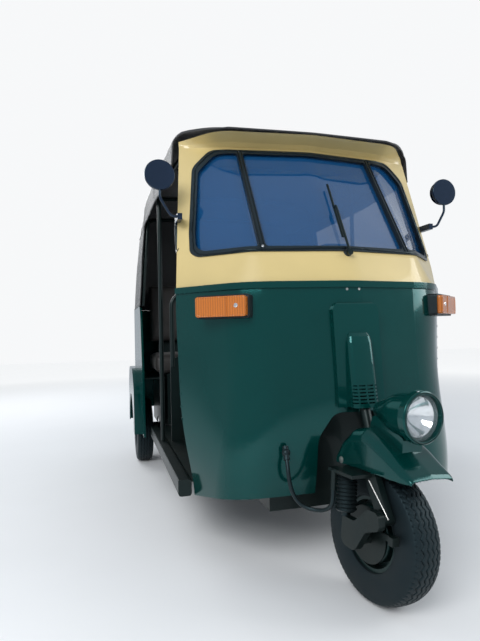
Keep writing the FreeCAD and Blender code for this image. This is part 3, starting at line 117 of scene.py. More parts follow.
# %% Signals and finishes


class Signal:
    """One output socket that takes part in Python arithmetic."""

    def __init__(self, finish, socket):
        self.finish = finish
        self.socket = socket

    def math(self, operation, *values, clamp=False):
        return self.finish.node("Math", {"operation": operation, "use_clamp": clamp}, values)

    def __add__(self, other):
        return self.math("ADD", self, other)

    def __radd__(self, other):
        return self.math("ADD", other, self)

    def __sub__(self, other):
        return self.math("SUBTRACT", self, other)

    def __rsub__(self, other):
        return self.math("SUBTRACT", other, self)

    def __mul__(self, other):
        return self.math("MULTIPLY", self, other)

    def __rmul__(self, other):
        return self.math("MULTIPLY", other, self)

    def wave(self):
        return self.math("SINE", self)

    def ramp(self, low, high):
        """0 below low and 1 above high, with a straight line between."""
        return self.math("MULTIPLY_ADD", self, 1 / (high - low), -low / (high - low), clamp=True)


class Finish:
    """A material in the making."""

    def __init__(self, name):
        self.material = bpy.data.materials.new(name)
        self.material.use_nodes = True
        self.tree = self.material.node_tree
        self.tree.nodes.clear()
        self.place = self.node("TexCoord", output="Object")

    def node(self, kind, settings=None, values=(), output=0, **named):
        """Adds a node: its settings first, then its sockets by order or, with _ for a space, by name."""
        made = self.tree.nodes.new("ShaderNode" + kind)
        for key, value in (settings or {}).items():
            setattr(made, key, value)
        for key, value in list(enumerate(values)) + list(named.items()):
            socket = made.inputs[key.replace("_", " ") if isinstance(key, str) else key]
            if isinstance(value, Signal):
                self.tree.links.new(value.socket, socket)
            elif isinstance(value, tuple) and len(value) == 3 and socket.type == "RGBA":
                socket.default_value = (*value, 1)
            else:
                socket.default_value = value
        return Signal(self, made.outputs[output] if made.outputs else made)

    def noise(self, scale, detail=2.0, stretch=(1, 1, 1)):
        place = self.place
        if stretch != (1, 1, 1):
            place = self.node("Mapping", {}, Vector=place, Scale=stretch)
        return self.node("TexNoise", {}, Vector=place, Scale=scale, Detail=detail, output="Fac")

    def cells(self, scale):
        return self.node("TexVoronoi", {}, Vector=self.place, Scale=scale, output="Distance")

    def axis(self, name):
        return self.node("SeparateXYZ", {}, Vector=self.place, output=name)

    def mix(self, share, first, second):
        """A blend of two colours, which a Mix node takes at inputs 6 and 7 and gives at output 2."""
        made = self.tree.nodes.new("ShaderNodeMix")
        made.data_type = "RGBA"
        for key, value in ((0, share), (6, first), (7, second)):
            if isinstance(value, Signal):
                self.tree.links.new(value.socket, made.inputs[key])
            else:
                made.inputs[key].default_value = value if key == 0 else (*value, 1)
        return Signal(self, made.outputs[2])

    def bump(self, height, depth, under=None):
        given = {"Normal": under} if under else {}
        return self.node("Bump", {}, Height=height, Distance=depth, Strength=1.0, **given)

    def surface(self, **sockets):
        shader = self.node("BsdfPrincipled", {}, **sockets)
        self.node("OutputMaterial", {}, Surface=shader)
        return self.material


def tone(colour, factor):
    return tuple(min(1.0, channel * factor) for channel in colour)


# %% [markdown]
# Paint
# Sheet steel on a working taxi is sprayed thick and glossy. Under the clear gloss the colour drifts a
# little, the film has a faint orange peel, and road film gathers low down. Each of these is one noise
# at its own scale: a slow one for drift, a fine one for peel, and a mask by height for the film. A dark
# paint keeps its hue in a bright studio because its reflections are tinted too.

# %% Painted metals
BOTTLE_GREEN, GREEN_SHEEN = (0.0004, 0.026, 0.023), (0.12, 0.8, 0.8)
CREAM, WHITE_SHEEN = (0.56, 0.44, 0.19), (1, 1, 1)
CHASSIS_BLACK, CHASSIS_SHEEN = (0.002, 0.006, 0.006), (0.40, 0.52, 0.52)
WHEEL_BLACK, WHEEL_SHEEN = (0.002, 0.009, 0.009), (0.28, 0.62, 0.62)
ROAD_DUST = (0.16, 0.13, 0.09)
ORANGE_PEEL = 0.00012


def paint(name, colour, gloss=0.11, coat=0.3, dusty_below=0.4, dust=0.06, sheen=GREEN_SHEEN):
    """Sprayed paint; gloss is its roughness, sheen the colour of what it mirrors."""
    finish = Finish(name)
    drift = finish.noise(1.7, 3.0).ramp(0.35, 0.7)
    base = finish.mix(drift, tone(colour, 0.86), tone(colour, 1.14))
    height = finish.axis("Z")
    film = (1 - height.ramp(0.05, dusty_below)) * finish.noise(9.0, 5.0).ramp(0.35, 0.75) * dust
    specks = finish.noise(260.0, 1.0).ramp(0.70, 0.78) * 0.25
    base = finish.mix(film + specks * film, base, ROAD_DUST)
    roughness = gloss + film * 0.5 + finish.noise(30.0, 2.0).ramp(0.3, 0.8) * 0.05
    skin = finish.bump(finish.noise(220.0, 1.0), ORANGE_PEEL)
    return finish.surface(Base_Color=base, Roughness=roughness, Coat_Weight=coat, Coat_Roughness=0.04,
                          Specular_Tint=(*sheen, 1), Normal=skin)


green = paint("green_enamel", BOTTLE_GREEN)
cream = paint("cream_enamel", CREAM, gloss=0.32, coat=0.4, dusty_below=1.25, dust=0.12, sheen=WHITE_SHEEN)
black = paint("black_chassis_paint", CHASSIS_BLACK, gloss=0.4, coat=0.1, dusty_below=0.5, dust=0.05,
              sheen=CHASSIS_SHEEN)
wheel_enamel = paint("wheel_enamel", WHEEL_BLACK, gloss=0.34, coat=0.2, dust=0.05, sheen=WHEEL_SHEEN)
print("paints:", green.name, cream.name, black.name, wheel_enamel.name)

# %% [markdown]
# Rubber, plastic and metal
# Tyres, seals and grips share one recipe with different grain. Chrome needs almost nothing: metallic
# 1, a low roughness and a few water marks. Cast alloy is the opposite, a coarse bump under a dull grey.

# %% Rubber, plastic, metal
RUBBER_SHEEN = (0.35, 0.55, 0.62, 1)


def rubber(name, colour, roughness=0.55, grain=0.0003, dusty_below=0.3, dust=0.4):
    finish = Finish(name)
    height = finish.axis("Z")
    film = (1 - height.ramp(0.0, dusty_below)) * finish.noise(14.0, 4.0).ramp(0.3, 0.7) * dust
    bloom = finish.noise(5.0, 3.0).ramp(0.45, 0.8) * 0.3
    base = finish.mix(film, finish.mix(bloom, colour, tone(colour, 1.9)), ROAD_DUST)
    skin = finish.bump(finish.noise(700.0, 2.0), grain)
    return finish.surface(Base_Color=base, Roughness=film * 0.3 + roughness, Specular_Tint=RUBBER_SHEEN,
                          Normal=skin)


def metal(name, colour, roughness, bump_scale=60.0, depth=0.00005, metallic=1.0):
    finish = Finish(name)
    marks = finish.noise(bump_scale, 4.0)
    base = finish.mix(marks.ramp(0.4, 0.75), colour, tone(colour, 0.8))
    return finish.surface(Base_Color=base, Metallic=metallic, Roughness=marks * 0.12 + roughness,
                          Normal=finish.bump(marks, depth))


tyre_rubber = rubber("tyre_rubber", (0.004, 0.007, 0.009), 0.55, 0.0003, 0.42, 0.04)
seal_rubber = rubber("seal_rubber", (0.010, 0.014, 0.018), 0.34, 0.00015, 0.2, 0.04)
soft_rubber = rubber("bellows_rubber", (0.006, 0.009, 0.010), 0.36, 0.0003, 0.4, 0.04)
black_plastic = rubber("black_plastic", (0.014, 0.015, 0.016), 0.38, 0.0002, 0.2)
mirror_shell = rubber("mirror_shell_plastic", (0.010, 0.016, 0.034), 0.16, 0.00003, 0.2)
chrome = metal("chrome", (0.82, 0.83, 0.84), 0.05)
zinc = metal("zinc_plate", (0.55, 0.55, 0.53), 0.3, 120.0)
cast_alloy = metal("cast_alloy", (0.30, 0.30, 0.29), 0.5, 260.0, 0.0004, 0.8)
mirror_glass = metal("silvered_glass", (0.9, 0.92, 0.93), 0.01, 3.0, 0.0)
print("rubbers and metals:", len(bpy.data.materials), "materials so far")

# %% [markdown]
# Glass and lenses
# The windscreen stands in daylight, so it shows more sky than cabin: the glass is clear, but its face is
# mostly opaque and its blue base colour is painted sky reflection, under a strong gloss. Signal lenses
# are moulded plastic with fine flutes behind the face, which a wave of Object coordinates draws as bump.

# %% Glass, lenses
LENS_FLUTES = 900.0


def glass(name, colour, alpha, flutes=0.0):
    finish = Finish(name)
    smear = finish.noise(4.0, 4.0, (1, 1, 2.5)).ramp(0.45, 0.8)
    sockets = {"Base_Color": colour, "Roughness": smear * 0.05 + 0.02, "IOR": 1.5, "Coat_Weight": 1.0,
               "Coat_Roughness": 0.01, "Alpha": smear * 0.06 + alpha}
    if flutes:
        sockets["Normal"] = finish.bump((finish.axis("X") * flutes).wave(), 0.0006)
    return finish.surface(**sockets)


def lens(name, colour, glow):
    finish = Finish(name)
    waves = (finish.axis("X") * LENS_FLUTES).wave() * 0.5 + 0.5
    base = finish.mix(waves * 0.55, colour, tone(colour, 0.45))
    return finish.surface(Base_Color=base, Roughness=0.12, Coat_Weight=1.0, Coat_Roughness=0.03,
                          Emission_Color=base, Emission_Strength=glow, Normal=finish.bump(waves, 0.0008))


# Painted sky reflection: the windscreen's blue base colour, on a face about three quarters opaque.
screen_glass = glass("windscreen_glass", (0.006, 0.070, 0.20), 0.72)
lamp_glass = glass("lamp_glass", (0.80, 0.90, 0.96), 0.08, 260.0)
clear_sheet = glass("clear_vinyl_sheet", (0.25, 0.27, 0.27), 0.5)
amber = lens("amber_lens", (0.52, 0.14, 0.004), 0.03)
red_lens = lens("red_lens", (0.36, 0.006, 0.005), 0.02)
print("glasses and lenses:", len(bpy.data.materials), "materials so far")

# %% [markdown]
# Cloth and vinyl
# Seats wear a grained vinyl: small cells for the grain, long soft folds under them. The hood is
# coated canvas, whose weave is two waves crossing at right angles, faint under its black coating.

# %% Vinyl, canvas


def vinyl(name, colour, roughness=0.42):
    finish = Finish(name)
    grain = finish.bump(finish.cells(420.0), 0.00035)
    folds = finish.bump(finish.noise(26.0, 3.0), 0.0012, grain)
    worn = finish.noise(6.0, 4.0).ramp(0.45, 0.75)
    base = finish.mix(worn * 0.5, colour, tone(colour, 1.6))
    return finish.surface(Base_Color=base, Roughness=worn * 0.1 + roughness, Sheen_Weight=0.1, Normal=folds)


def canvas(name, colour, threads=3200.0):
    finish = Finish(name)
    along = (finish.axis("Y") * threads).wave()
    across = ((finish.axis("X") + finish.axis("Z")) * threads).wave()
    weave = finish.bump(along * across, 0.0002)
    puckers = finish.bump(finish.noise(9.0, 4.0), 0.004, weave)
    faded = finish.noise(3.0, 4.0).ramp(0.4, 0.75)
    base = finish.mix(faded * 0.6, colour, tone(colour, 1.7))
    return finish.surface(Base_Color=base, Roughness=faded * 0.1 + 0.5, Sheen_Weight=0.2, Normal=puckers)


seat_vinyl = vinyl("seat_vinyl", (0.020, 0.018, 0.017))
hood_canvas = canvas("hood_canvas", (0.014, 0.015, 0.017))
print("cloths:", seat_vinyl.name, hood_canvas.name)

# %% [markdown]
# Finishes on the solids
# Every solid that comes with the frame names the slot of its finish. One table turns those names into
# the materials above, and three solids differ from the rest of their slot: the shells of the mirrors
# are shiny blue-black plastic, and the bellows and the hose's grommet are softer rubber.

# %% Give each solid its finish
SLOT_FINISH = {
    "green_paint": green, "cream_paint": cream, "black_paint": black, "wheel_paint": wheel_enamel,
    "tyre_rubber": tyre_rubber, "black_rubber": seal_rubber, "black_plastic": black_plastic,
    "amber_plastic": amber, "red_plastic": red_lens, "window_glass": screen_glass, "lamp_glass": lamp_glass,
    "clear_sheet": clear_sheet, "seat_vinyl": seat_vinyl, "hood_cloth": hood_canvas, "cast_alloy": cast_alloy,
}
for row in frame["record"]["subparts"]:
    solid = NODES[row["node"]]
    solid.data.materials.clear()
    solid.data.materials.append(SLOT_FINISH[row["material_slot"]])
NODES["mirrors"].data.materials[0] = mirror_shell
NODES["front_shock"].data.materials[0] = soft_rubber
NODES["hose_grommet"].data.materials[0] = soft_rubber
print("finishes:", len(SLOT_FINISH), "on", len(NODES), "solids")

# %% [markdown]
# Places and small tools
# Sizes here are in millimetres from the front axle, because that is how such a vehicle is measured.
# The front end is drawn straight ahead and then turned to its parked angle about the steering axis,
# which the frame's own joint gives. A lathe makes round pieces and a smooth spline makes bent ones.

# %% Places and small tools
RECORD_JOINTS = {joint["name"]: joint for joint in frame["record"]["behaviour"]["joints"]}
RECORD_MOUNTS = {mount["name"]: Vector(mount["pos_m"]) for mount in frame["record"]["mounts"]}
STEER_FOOT = Vector(RECORD_JOINTS["steering_turn"]["pos_m"])
STEER_AXIS = Vector(RECORD_JOINTS["steering_turn"]["axis"]).normalized()
PARKED_DEGREES = 11
PARKED_TURN = Matrix.Rotation(math.radians(PARKED_DEGREES), 3, STEER_AXIS)
FORWARDS, BACKWARDS, DOWNWARDS = Vector((0, -1, 0)), Vector((0, 1, 0)), Vector((0, 0, -1))


def at(x, y, z):
    """A place in metres, from millimetres across, behind the front axle and above the ground."""
    return Vector((x / 1000, FRONT_AXLE_Y + y / 1000, z / 1000))


def parked(spot):
    """Where a place drawn with the wheel straight ahead stands once the steering is parked."""
    return STEER_FOOT + PARKED_TURN @ (spot - STEER_FOOT)


def piece(name, mesh, finish, body, crease=35):
    """A finished mesh becomes an object that rides on a body."""
    mesh.name = name
    mesh.materials.clear()
    mesh.materials.append(finish)
    mesh.shade_smooth()
    mesh.set_sharp_from_angle(angle=math.radians(crease))
    obj = linked(name, mesh)
    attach(obj, body)
    return obj


def frame_of(place, forward, up=Vector((0, 0, 1))):
    """A placement whose Z axis points forward."""
    z = forward.normalized()
    x = up.cross(z)
    x = x.normalized() if x.length > 1e-4 else Vector((1, 0, 0))
    return Matrix.Translation(place) @ Matrix((x, z.cross(x), z)).transposed().to_4x4()


def lathe(profile, place, forward, steps=64):
    """A closed outline of (millimetres along, radius) turned about the line forward from place."""
    work = bmesh.new()
    rings = []
    for along, radius in profile:
        count = steps if radius > 0 else 1
        rings.append([work.verts.new((radius / 1000 * math.cos(step * math.tau / steps),
                                      radius / 1000 * math.sin(step * math.tau / steps), along / 1000))
                      for step in range(count)])
    loop = rings if profile[0][1] == 0 and profile[-1][1] == 0 else rings + rings[:1]
    for first, second in zip(loop, loop[1:]):
        for step in range(steps):
            corners = [first[step % len(first)], first[(step + 1) % len(first)],
                       second[(step + 1) % len(second)], second[step % len(second)]]
            unique = list(dict.fromkeys(corners))
            if len(unique) > 2:
                work.faces.new(unique)
    bmesh.ops.recalc_face_normals(work, faces=work.faces)
    work.transform(frame_of(place, forward))
    mesh = bpy.data.meshes.new("turned")
    work.to_mesh(mesh)
    work.free()
    return mesh


def bar_mesh(points, radius, facets=3, smooth=True, closed=False):
    """A round bar through its points or, where smooth, along a spline that passes near them."""
    data = bpy.data.curves.new("run", "CURVE")
    data.dimensions = "3D"
    run = data.splines.new("NURBS" if smooth else "POLY")
    run.points.add(len(points) - 1)
    for target, source in zip(run.points, points):
        target.co = (*source, 1)
    run.use_cyclic_u = closed
    if smooth:
        run.order_u = 3
        run.use_endpoint_u = True
    data.bevel_depth = radius
    data.bevel_resolution = facets
    data.use_fill_caps = not closed
    holder = linked("run", data)
    mesh = plain_mesh(holder)
    bpy.data.objects.remove(holder)
    return mesh


def closed_mesh(name, points, faces):
    """A mesh with its faces outwards and no loose points, and its surface in square metres."""
    mesh = bpy.data.meshes.new(name)
    mesh.from_pydata(points, [], faces)
    work = bmesh.new()
    work.from_mesh(mesh)
    loose = [vertex for vertex in work.verts if not vertex.link_faces]
    bmesh.ops.delete(work, geom=loose, context="VERTS")
    bmesh.ops.recalc_face_normals(work, faces=work.faces)
    surface = sum(face.calc_area() for face in work.faces)
    work.to_mesh(mesh)
    work.free()
    return mesh, surface


def tree_of(*meshes):
    """A search tree over meshes, to find where a line meets them."""
    corners, faces = [], []
    for mesh in meshes:
        first = len(corners)
        corners += [vertex.co.copy() for vertex in mesh.vertices]
        faces += [[first + index for index in polygon.vertices] for polygon in mesh.polygons]
    return BVHTree.FromPolygons(corners, faces)


def solid_tree(*names):
    return tree_of(*(NODES[name].data for name in names))


def landing(tree, start, way):
    """The first place that a line meets, with the facing there turned back towards its start."""
    spot, normal = tree.ray_cast(start, way)[:2]
    if spot is None:
        return None
    return spot, (-normal if normal.dot(way) > 0 else normal)


def seen_at(tree, across, down):
    """Where the camera's line through a pixel of the photograph meets the solids."""
    focal = LENS / SENSOR * PHOTO_TALL
    sideways, upwards = (across - PHOTO_WIDE / 2) / focal, (PHOTO_TALL / 2 - down) / focal
    way = VIEW_RIGHT * sideways + VIEW_UP * upwards + VIEW_AHEAD
    return landing(tree, CAMERA_PLACE, way.normalized())


def rounded_loop(steps, power):
    """Places round a rounded square that reaches 1 each way; a lower power gives squarer corners."""
    loop = []
    for step in range(steps):
        cosine, sine = math.cos(step * math.tau / steps), math.sin(step * math.tau / steps)
        loop.append((math.copysign(abs(cosine) ** power, cosine), math.copysign(abs(sine) ** power, sine)))
    return loop


print("steering foot", [round(v, 3) for v in STEER_FOOT], "front axle at y", round(FRONT_AXLE_Y, 4))

# %% [markdown]
# Fasteners by Geometry Nodes
# Rivets, bolts and screws repeat all over a pressed-steel body. A tree for each kind of head instances it
# on every given point, turned to that point's facing, and makes it real. Its sizes are named inputs, so
# one tree serves an 8 mm screw and a 13 mm button. A head is a stack of short cylinders: a row gives the
# sides of one, its radius as a share of the width, and its height as a share of the height.

# %% Fasteners
HEAD_STAGES = {"rivet": ((16, 0.5, 0.5), (16, 0.36, 1.0)),
               "bolt": ((20, 0.72, 0.3), (6, 0.56, 1.0), (12, 0.28, 1.5))}


def head_tree(kind, stages):
    tree = bpy.data.node_groups.new("%s_heads" % kind, "GeometryNodeTree")
    tree.interface.new_socket("Geometry", in_out="INPUT", socket_type="NodeSocketGeometry")
    for label in ("Across", "Height"):
        tree.interface.new_socket(label, in_out="INPUT", socket_type="NodeSocketFloat")
    tree.interface.new_socket("Material", in_out="INPUT", socket_type="NodeSocketMaterial")
    tree.interface.new_socket("Geometry", in_out="OUTPUT", socket_type="NodeSocketGeometry")

    def node(name, **settings):
        made = tree.nodes.new(name)
        for key, value in settings.items():
            setattr(made, key, value)
        return made

    def scaled(source, factor):
        made = node("ShaderNodeMath", operation="MULTIPLY")
        tree.links.new(source, made.inputs[0])
        made.inputs[1].default_value = factor
        return made.outputs[0]

    given = node("NodeGroupInput")
    join = node("GeometryNodeJoinGeometry")
    for sides, radius, height in stages:
        disc = node("GeometryNodeMeshCylinder")
        disc.inputs["Vertices"].default_value = sides
        tree.links.new(scaled(given.outputs["Across"], radius), disc.inputs["Radius"])
        tree.links.new(scaled(given.outputs["Height"], height), disc.inputs["Depth"])
        tree.links.new(disc.outputs["Mesh"], join.inputs[0])
    facing = node("GeometryNodeInputNamedAttribute", data_type="FLOAT_VECTOR")
    facing.inputs["Name"].default_value = "facing"
    turn = node("FunctionNodeAlignRotationToVector", axis="Z")
    tree.links.new(facing.outputs[0], turn.inputs["Vector"])
    spread = node("GeometryNodeInstanceOnPoints")
    tree.links.new(given.outputs["Geometry"], spread.inputs["Points"])
    tree.links.new(join.outputs[0], spread.inputs["Instance"])
    tree.links.new(turn.outputs[0], spread.inputs["Rotation"])
    real = node("GeometryNodeRealizeInstances")
    tree.links.new(spread.outputs[0], real.inputs[0])
    dress = node("GeometryNodeSetMaterial")
    tree.links.new(real.outputs[0], dress.inputs["Geometry"])
    tree.links.new(given.outputs["Material"], dress.inputs["Material"])
    out = node("NodeGroupOutput")
    tree.links.new(dress.outputs[0], out.inputs[0])
    return tree


HEAD_TREES = {kind: head_tree(kind, stages) for kind, stages in HEAD_STAGES.items()}


def heads(name, kind, spots, across, height, finish, body):
    """One mesh of equal heads, one on each (place, facing) of spots, sizes in millimetres."""
    spots = [spot for spot in spots if spot]
    carrier = bpy.data.meshes.new(name + "_points")
    carrier.from_pydata([tuple(place) for place, facing in spots], [], [])
    facing_data = carrier.attributes.new("facing", "FLOAT_VECTOR", "POINT")
    facing_data.data.foreach_set("vector", [value for place, facing in spots for value in facing])
    holder = linked(name + "_points", carrier)
    modifier = holder.modifiers.new("heads", "NODES")
    modifier.node_group = HEAD_TREES[kind]
    values = {"Across": across / 1000, "Height": height / 1000, "Material": finish}
    for item in HEAD_TREES[kind].interface.items_tree:
        if item.in_out == "INPUT" and item.name in values:
            modifier[item.identifier] = values[item.name]
    mesh = plain_mesh(holder)
    bpy.data.objects.remove(holder)
    print(name, len(spots), "heads")
    return piece(name, mesh, finish, body)


# %% [markdown]
# Tyres
# The tyres are narrow scooter tyres with four zigzag grooves and sipes cut across the shoulders. The
# tread is a rule, not a drawing: radius is a function of the angle and of the place across, so a grid
# of points is pushed inwards wherever the rule says groove.

# %% Tyres
TYRE_RADIUS, TYRE_HALF = 0.2028, 0.0508
BEAD_RADIUS, BEAD_HALF = 0.1100, 0.0440
TREAD_HALF, SHOULDER = 0.0440, 0.0335
CROWN_DROP, CROWN_POWER = 0.0085, 2.6
RING_RADIUS, RING_WIDTH, RING_HEIGHT = 0.150, 0.0022, 0.0012
GROOVES = (-0.0255, -0.0085, 0.0085, 0.0255)
GROOVE_DEPTH, GROOVE_WIDTH = 0.0055, 0.0013
ZIGZAGS, ZIGZAG_REACH = 45, 0.0042
SIPES, SIPE_SLANT, SIPE_WIDTH, SIPE_DEPTH, SIPE_LOWEST = 36, 60, 0.22, 0.0035, 0.182
REAR_AROUND = 300


def tyre(name, joint_name, body, node, around=360, across=64):
    """A treaded tyre on the axle of a rolling joint, as a grid of points round and across it."""
    lateral = np.linspace(-TREAD_HALF, TREAD_HALF, across)
    crown = TYRE_RADIUS - CROWN_DROP * np.abs(lateral / TREAD_HALF) ** CROWN_POWER
    sweep = np.linspace(0, math.pi, 16)[1:-1]
    edge_radius = crown[-1]
    side = TREAD_HALF + (TYRE_HALF - TREAD_HALF) * np.sin(sweep)
    side_radius = edge_radius + (BEAD_RADIUS - edge_radius) * (1 - np.cos(sweep)) / 2
    ring_rib = RING_HEIGHT * np.exp(-((side_radius - RING_RADIUS) / RING_WIDTH) ** 2)
    side = np.minimum(side + ring_rib, TYRE_HALF)
    x = np.concatenate([[-BEAD_HALF], -side[::-1], lateral, side, [BEAD_HALF]])
    r = np.concatenate([[BEAD_RADIUS], side_radius[::-1], crown, side_radius, [BEAD_RADIUS]])
    angle = np.linspace(0, math.tau, around, endpoint=False)
    theta, width = np.meshgrid(angle, x, indexing="ij")
    radius = np.tile(r, (around, 1))
    zigzag = ZIGZAG_REACH * (2 / math.pi) * np.arcsin(np.sin(theta * ZIGZAGS))
    cut = np.zeros_like(radius)
    for groove in GROOVES:
        inside = np.clip(1.6 - np.abs(width - groove - zigzag) / GROOVE_WIDTH, 0, 1)
        cut = np.maximum(cut, inside * GROOVE_DEPTH)
    shoulder = (np.abs(width) > SHOULDER) & (radius > SIPE_LOWEST)
    slanted = np.abs(np.sin(theta * SIPES + np.abs(width) * SIPE_SLANT))
    sipe = np.clip(1.5 - slanted / SIPE_WIDTH, 0, 1) * SIPE_DEPTH
    radius = radius - np.maximum(cut * (np.abs(width) < SHOULDER), sipe * shoulder)
    joint = RECORD_JOINTS[joint_name]
    axis = Vector(joint["axis"]).normalized()
    place = frame_of(Vector(joint["pos_m"]), axis)
    turn = np.array(place.to_3x3())
    points = np.stack([radius * np.cos(theta), radius * np.sin(theta), width], axis=-1).reshape(-1, 3)
    points = points @ turn.T + np.array(place.translation)
    count = len(x)
    start = np.arange(around)[:, None] * count
    after = ((np.arange(around) + 1) % around)[:, None] * count
    one = np.arange(count)[None, :]
    two = (np.arange(count) + 1)[None, :] % count
    quads = np.stack([start + one, after + one, after + two, start + two], axis=-1).reshape(-1, 4)
    mesh = closed_mesh(name, points.tolist(), quads.tolist())[0]
    obj = piece(name, mesh, tyre_rubber, body, 50)
    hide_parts(node)
    print(name, len(quads), "quads")


tyre("treaded_tyre_front", "front_wheel_roll", FRONT_WHEEL, "tyre_front")
tyre("treaded_tyre_rear_left", "rear_wheel_left_roll", "rear_wheel_left", "tyre_rear_left", REAR_AROUND)
tyre("treaded_tyre_rear_right", "rear_wheel_right_roll", "rear_wheel_right", "tyre_rear_right", REAR_AROUND)

# %% [markdown]
# Brake hose
# A rubber hose leaves the shell downwards, hangs in a loop and ends in a union on the fork. It crosses
# the steering joint, but rides on neither body. Its line is one smooth spline.

# %% Brake hose
HOSE_RADIUS = 0.0065
UNION_ACROSS, UNION_BEHIND, UNION_TOP, UNION_LENGTH = -147, 45, 332, 34
HOSE_POINTS = [at(x, y, z) for x, y, z in (
    (-260, 126, 414), (-262, 113, 390), (-261, 107, 354), (-253, 105, 318), (-236, 101, 286), (-212, 92, 269),
    (-186, 72, 264), (-166, 47, 271), (-156, 28, 289))]
HOSE_POINTS += [parked(at(UNION_ACROSS, UNION_BEHIND, UNION_TOP - drop)) for drop in (UNION_LENGTH, 0)]
hose_line = bar_mesh(HOSE_POINTS, 0.0)
hose_mesh = bar_mesh(HOSE_POINTS, HOSE_RADIUS, 4)
hose_mesh.materials.clear()
hose_mesh.materials.append(soft_rubber)
hose_mesh.shade_smooth()
hose = linked("brake_hose_rubber", hose_mesh)
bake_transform(hose)
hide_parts("brake_hose")

# %% [markdown]
# Cushions
# A stuffed pad starts as a block with rounded edges a little smaller than its place, is remeshed into
# even squares, and is blown up with the Cloth simulation and no gravity. How far a point may move is
# capped, so that the pad keeps its place on the seat box.

# %% Cushions
AIR_PRESSURE, BLOWN_FRAMES = 4.0, 20
SEAT_FIT, DRIVER_PAD, BENCH_PAD, BENCH_LEAN = 8, 72, 112, 0.105
SEAT_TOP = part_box("driver_seat_box")[1].z * 1000
BENCH_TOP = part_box("bench_frame")[1].z * 1000 - 575


def cushion(name, low, high, rounding, swell, voxel, lean=0.0):
    """A stuffed pad between two corners; lean moves its top back, per metre of height."""
    work = bmesh.new()
    bmesh.ops.create_cube(work, size=1.0)
    for vertex in work.verts:
        vertex.co = Vector([low[i] + (high[i] - low[i]) * (vertex.co[i] + 0.5) for i in range(3)])
        vertex.co.y += (vertex.co.z - low.z) * lean
    bmesh.ops.bevel(work, geom=work.edges[:], offset=rounding, segments=4, profile=0.5, affect="EDGES")
    mesh = bpy.data.meshes.new(name)
    work.to_mesh(mesh)
    work.free()
    obj = linked(name, mesh)
    bpy.context.view_layer.objects.active = obj
    remesh = obj.modifiers.new("even", "REMESH")
    remesh.mode = "VOXEL"
    remesh.voxel_size = voxel
    even = plain_mesh(obj)
    obj.modifiers.clear()
    obj.data = even
    start = np.array([vertex.co for vertex in even.vertices])
    cloth = obj.modifiers.new("cloth", "CLOTH")
    cloth.settings.use_pressure = True
    cloth.settings.uniform_pressure_force = AIR_PRESSURE
    cloth.settings.effector_weights.gravity = 0.0
    for number in range(1, BLOWN_FRAMES + 1):
        bpy.context.scene.frame_set(number)
    blown = plain_mesh(obj)
    obj.modifiers.clear()
    moved = np.array([vertex.co for vertex in blown.vertices]) - start
    bpy.context.scene.frame_set(1)
    reach = np.linalg.norm(moved, axis=1, keepdims=True)
    moved = moved * np.minimum(1.0, swell / np.maximum(reach, 1e-9))
    even.vertices.foreach_set("co", (start + moved).reshape(-1).astype(np.float32))
    print(name, len(even.polygons), "faces")
    bpy.data.objects.remove(obj)
    made = piece(name, even, seat_vinyl, BODY, 80)
    rounder = made.modifiers.new("rounder", "SUBSURF")
    rounder.levels = rounder.render_levels = 1
    return made


driver_cushion = cushion("driver_cushion", at(-277, 790, SEAT_TOP + SEAT_FIT),
                         at(277, 1064, SEAT_TOP + DRIVER_PAD), rounding=0.022, swell=0.008, voxel=0.010)
driver_backrest = cushion("driver_backrest", at(-262, 1075, 690), at(262, 1121, 940),
                          rounding=0.014, swell=0.006, voxel=0.009)
bench_cushion = cushion("bench_cushion", at(-530, 1628, BENCH_TOP + SEAT_FIT),
                        at(530, 2066, BENCH_TOP + BENCH_PAD), rounding=0.030, swell=0.008, voxel=0.014)
bench_backrest = cushion("bench_backrest", at(-520, 2090, 770), at(520, 2138, 1170),
                         rounding=0.020, swell=0.008, voxel=0.013, lean=BENCH_LEAN)
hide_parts("driver_seat")
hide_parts("bench_seat")

# %% [markdown]
# Cloth sheets and sewn edges
# Cloth is laid on the outside of the solid that stands for it. For each point of a grid a line of sight
# runs in from outside, and the sheet gets a thin wall behind its face. Hems, welts and piping are bars
# through places found the same way. Where a solid ends in a ragged edge, halving finds how far it goes.

# %% Sheets and edges
CLOTH = 0.0016
SIGHT = 1.3
LEAST_REACH = 0.2


def closed_sheet(name, grid, hole=None):
    """A grid of points, rows by columns, becomes a thin sheet; hole(row, column) leaves quads out."""
    rows, columns = grid.shape[:2]
    facing = np.cross(np.gradient(grid, axis=1), np.gradient(grid, axis=0))
    facing /= np.linalg.norm(facing, axis=2, keepdims=True)
    middle = grid.reshape(-1, 3).mean(axis=0)
    if ((grid - middle) * facing).sum() < 0:
        facing = -facing
    layers = np.concatenate([grid.reshape(-1, 3), (grid - facing * CLOTH).reshape(-1, 3)])
    size = rows * columns
    quads = [(r, c) for r in range(rows - 1) for c in range(columns - 1) if not (hole and hole(r, c))]
    kept = set(quads)
    faces = []
    for r, c in quads:
        a, b = r * columns + c, r * columns + c + 1
        d, e = a + columns, b + columns
        faces += [(a, b, e, d), (a + size, d + size, e + size, b + size)]
        sides = (((r - 1, c), a, b), ((r + 1, c), e, d), ((r, c - 1), d, a), ((r, c + 1), b, e))
        for neighbour, first, second in sides:
            if neighbour not in kept:
                faces.append((first, first + size, second + size, second))
    mesh, surface = closed_mesh(name, layers.tolist(), faces)
    return mesh, surface / 2


def edge_bar(name, spots, radius, finish, closed=False):
    """A bar through every given place of the body, for hems, piping, welts and beads."""
    return piece(name, bar_mesh(spots, radius, 2, smooth=False, closed=closed), finish, BODY, 60)


def rim_of(grid):
    """The places round the edge of a grid, in order."""
    return [Vector(spot) for spot in (*grid[0], *grid[1:, -1], *grid[-1, -2::-1], *grid[-2:0:-1, 0])]


def run_length(points):
    return float(np.linalg.norm(np.diff(points, axis=0), axis=1).sum())


def fan_angle(edge, share):
    """The angle of a line of sight; it turns from edge on one side to the same edge on the other."""
    return edge + (math.pi - 2 * edge) * share


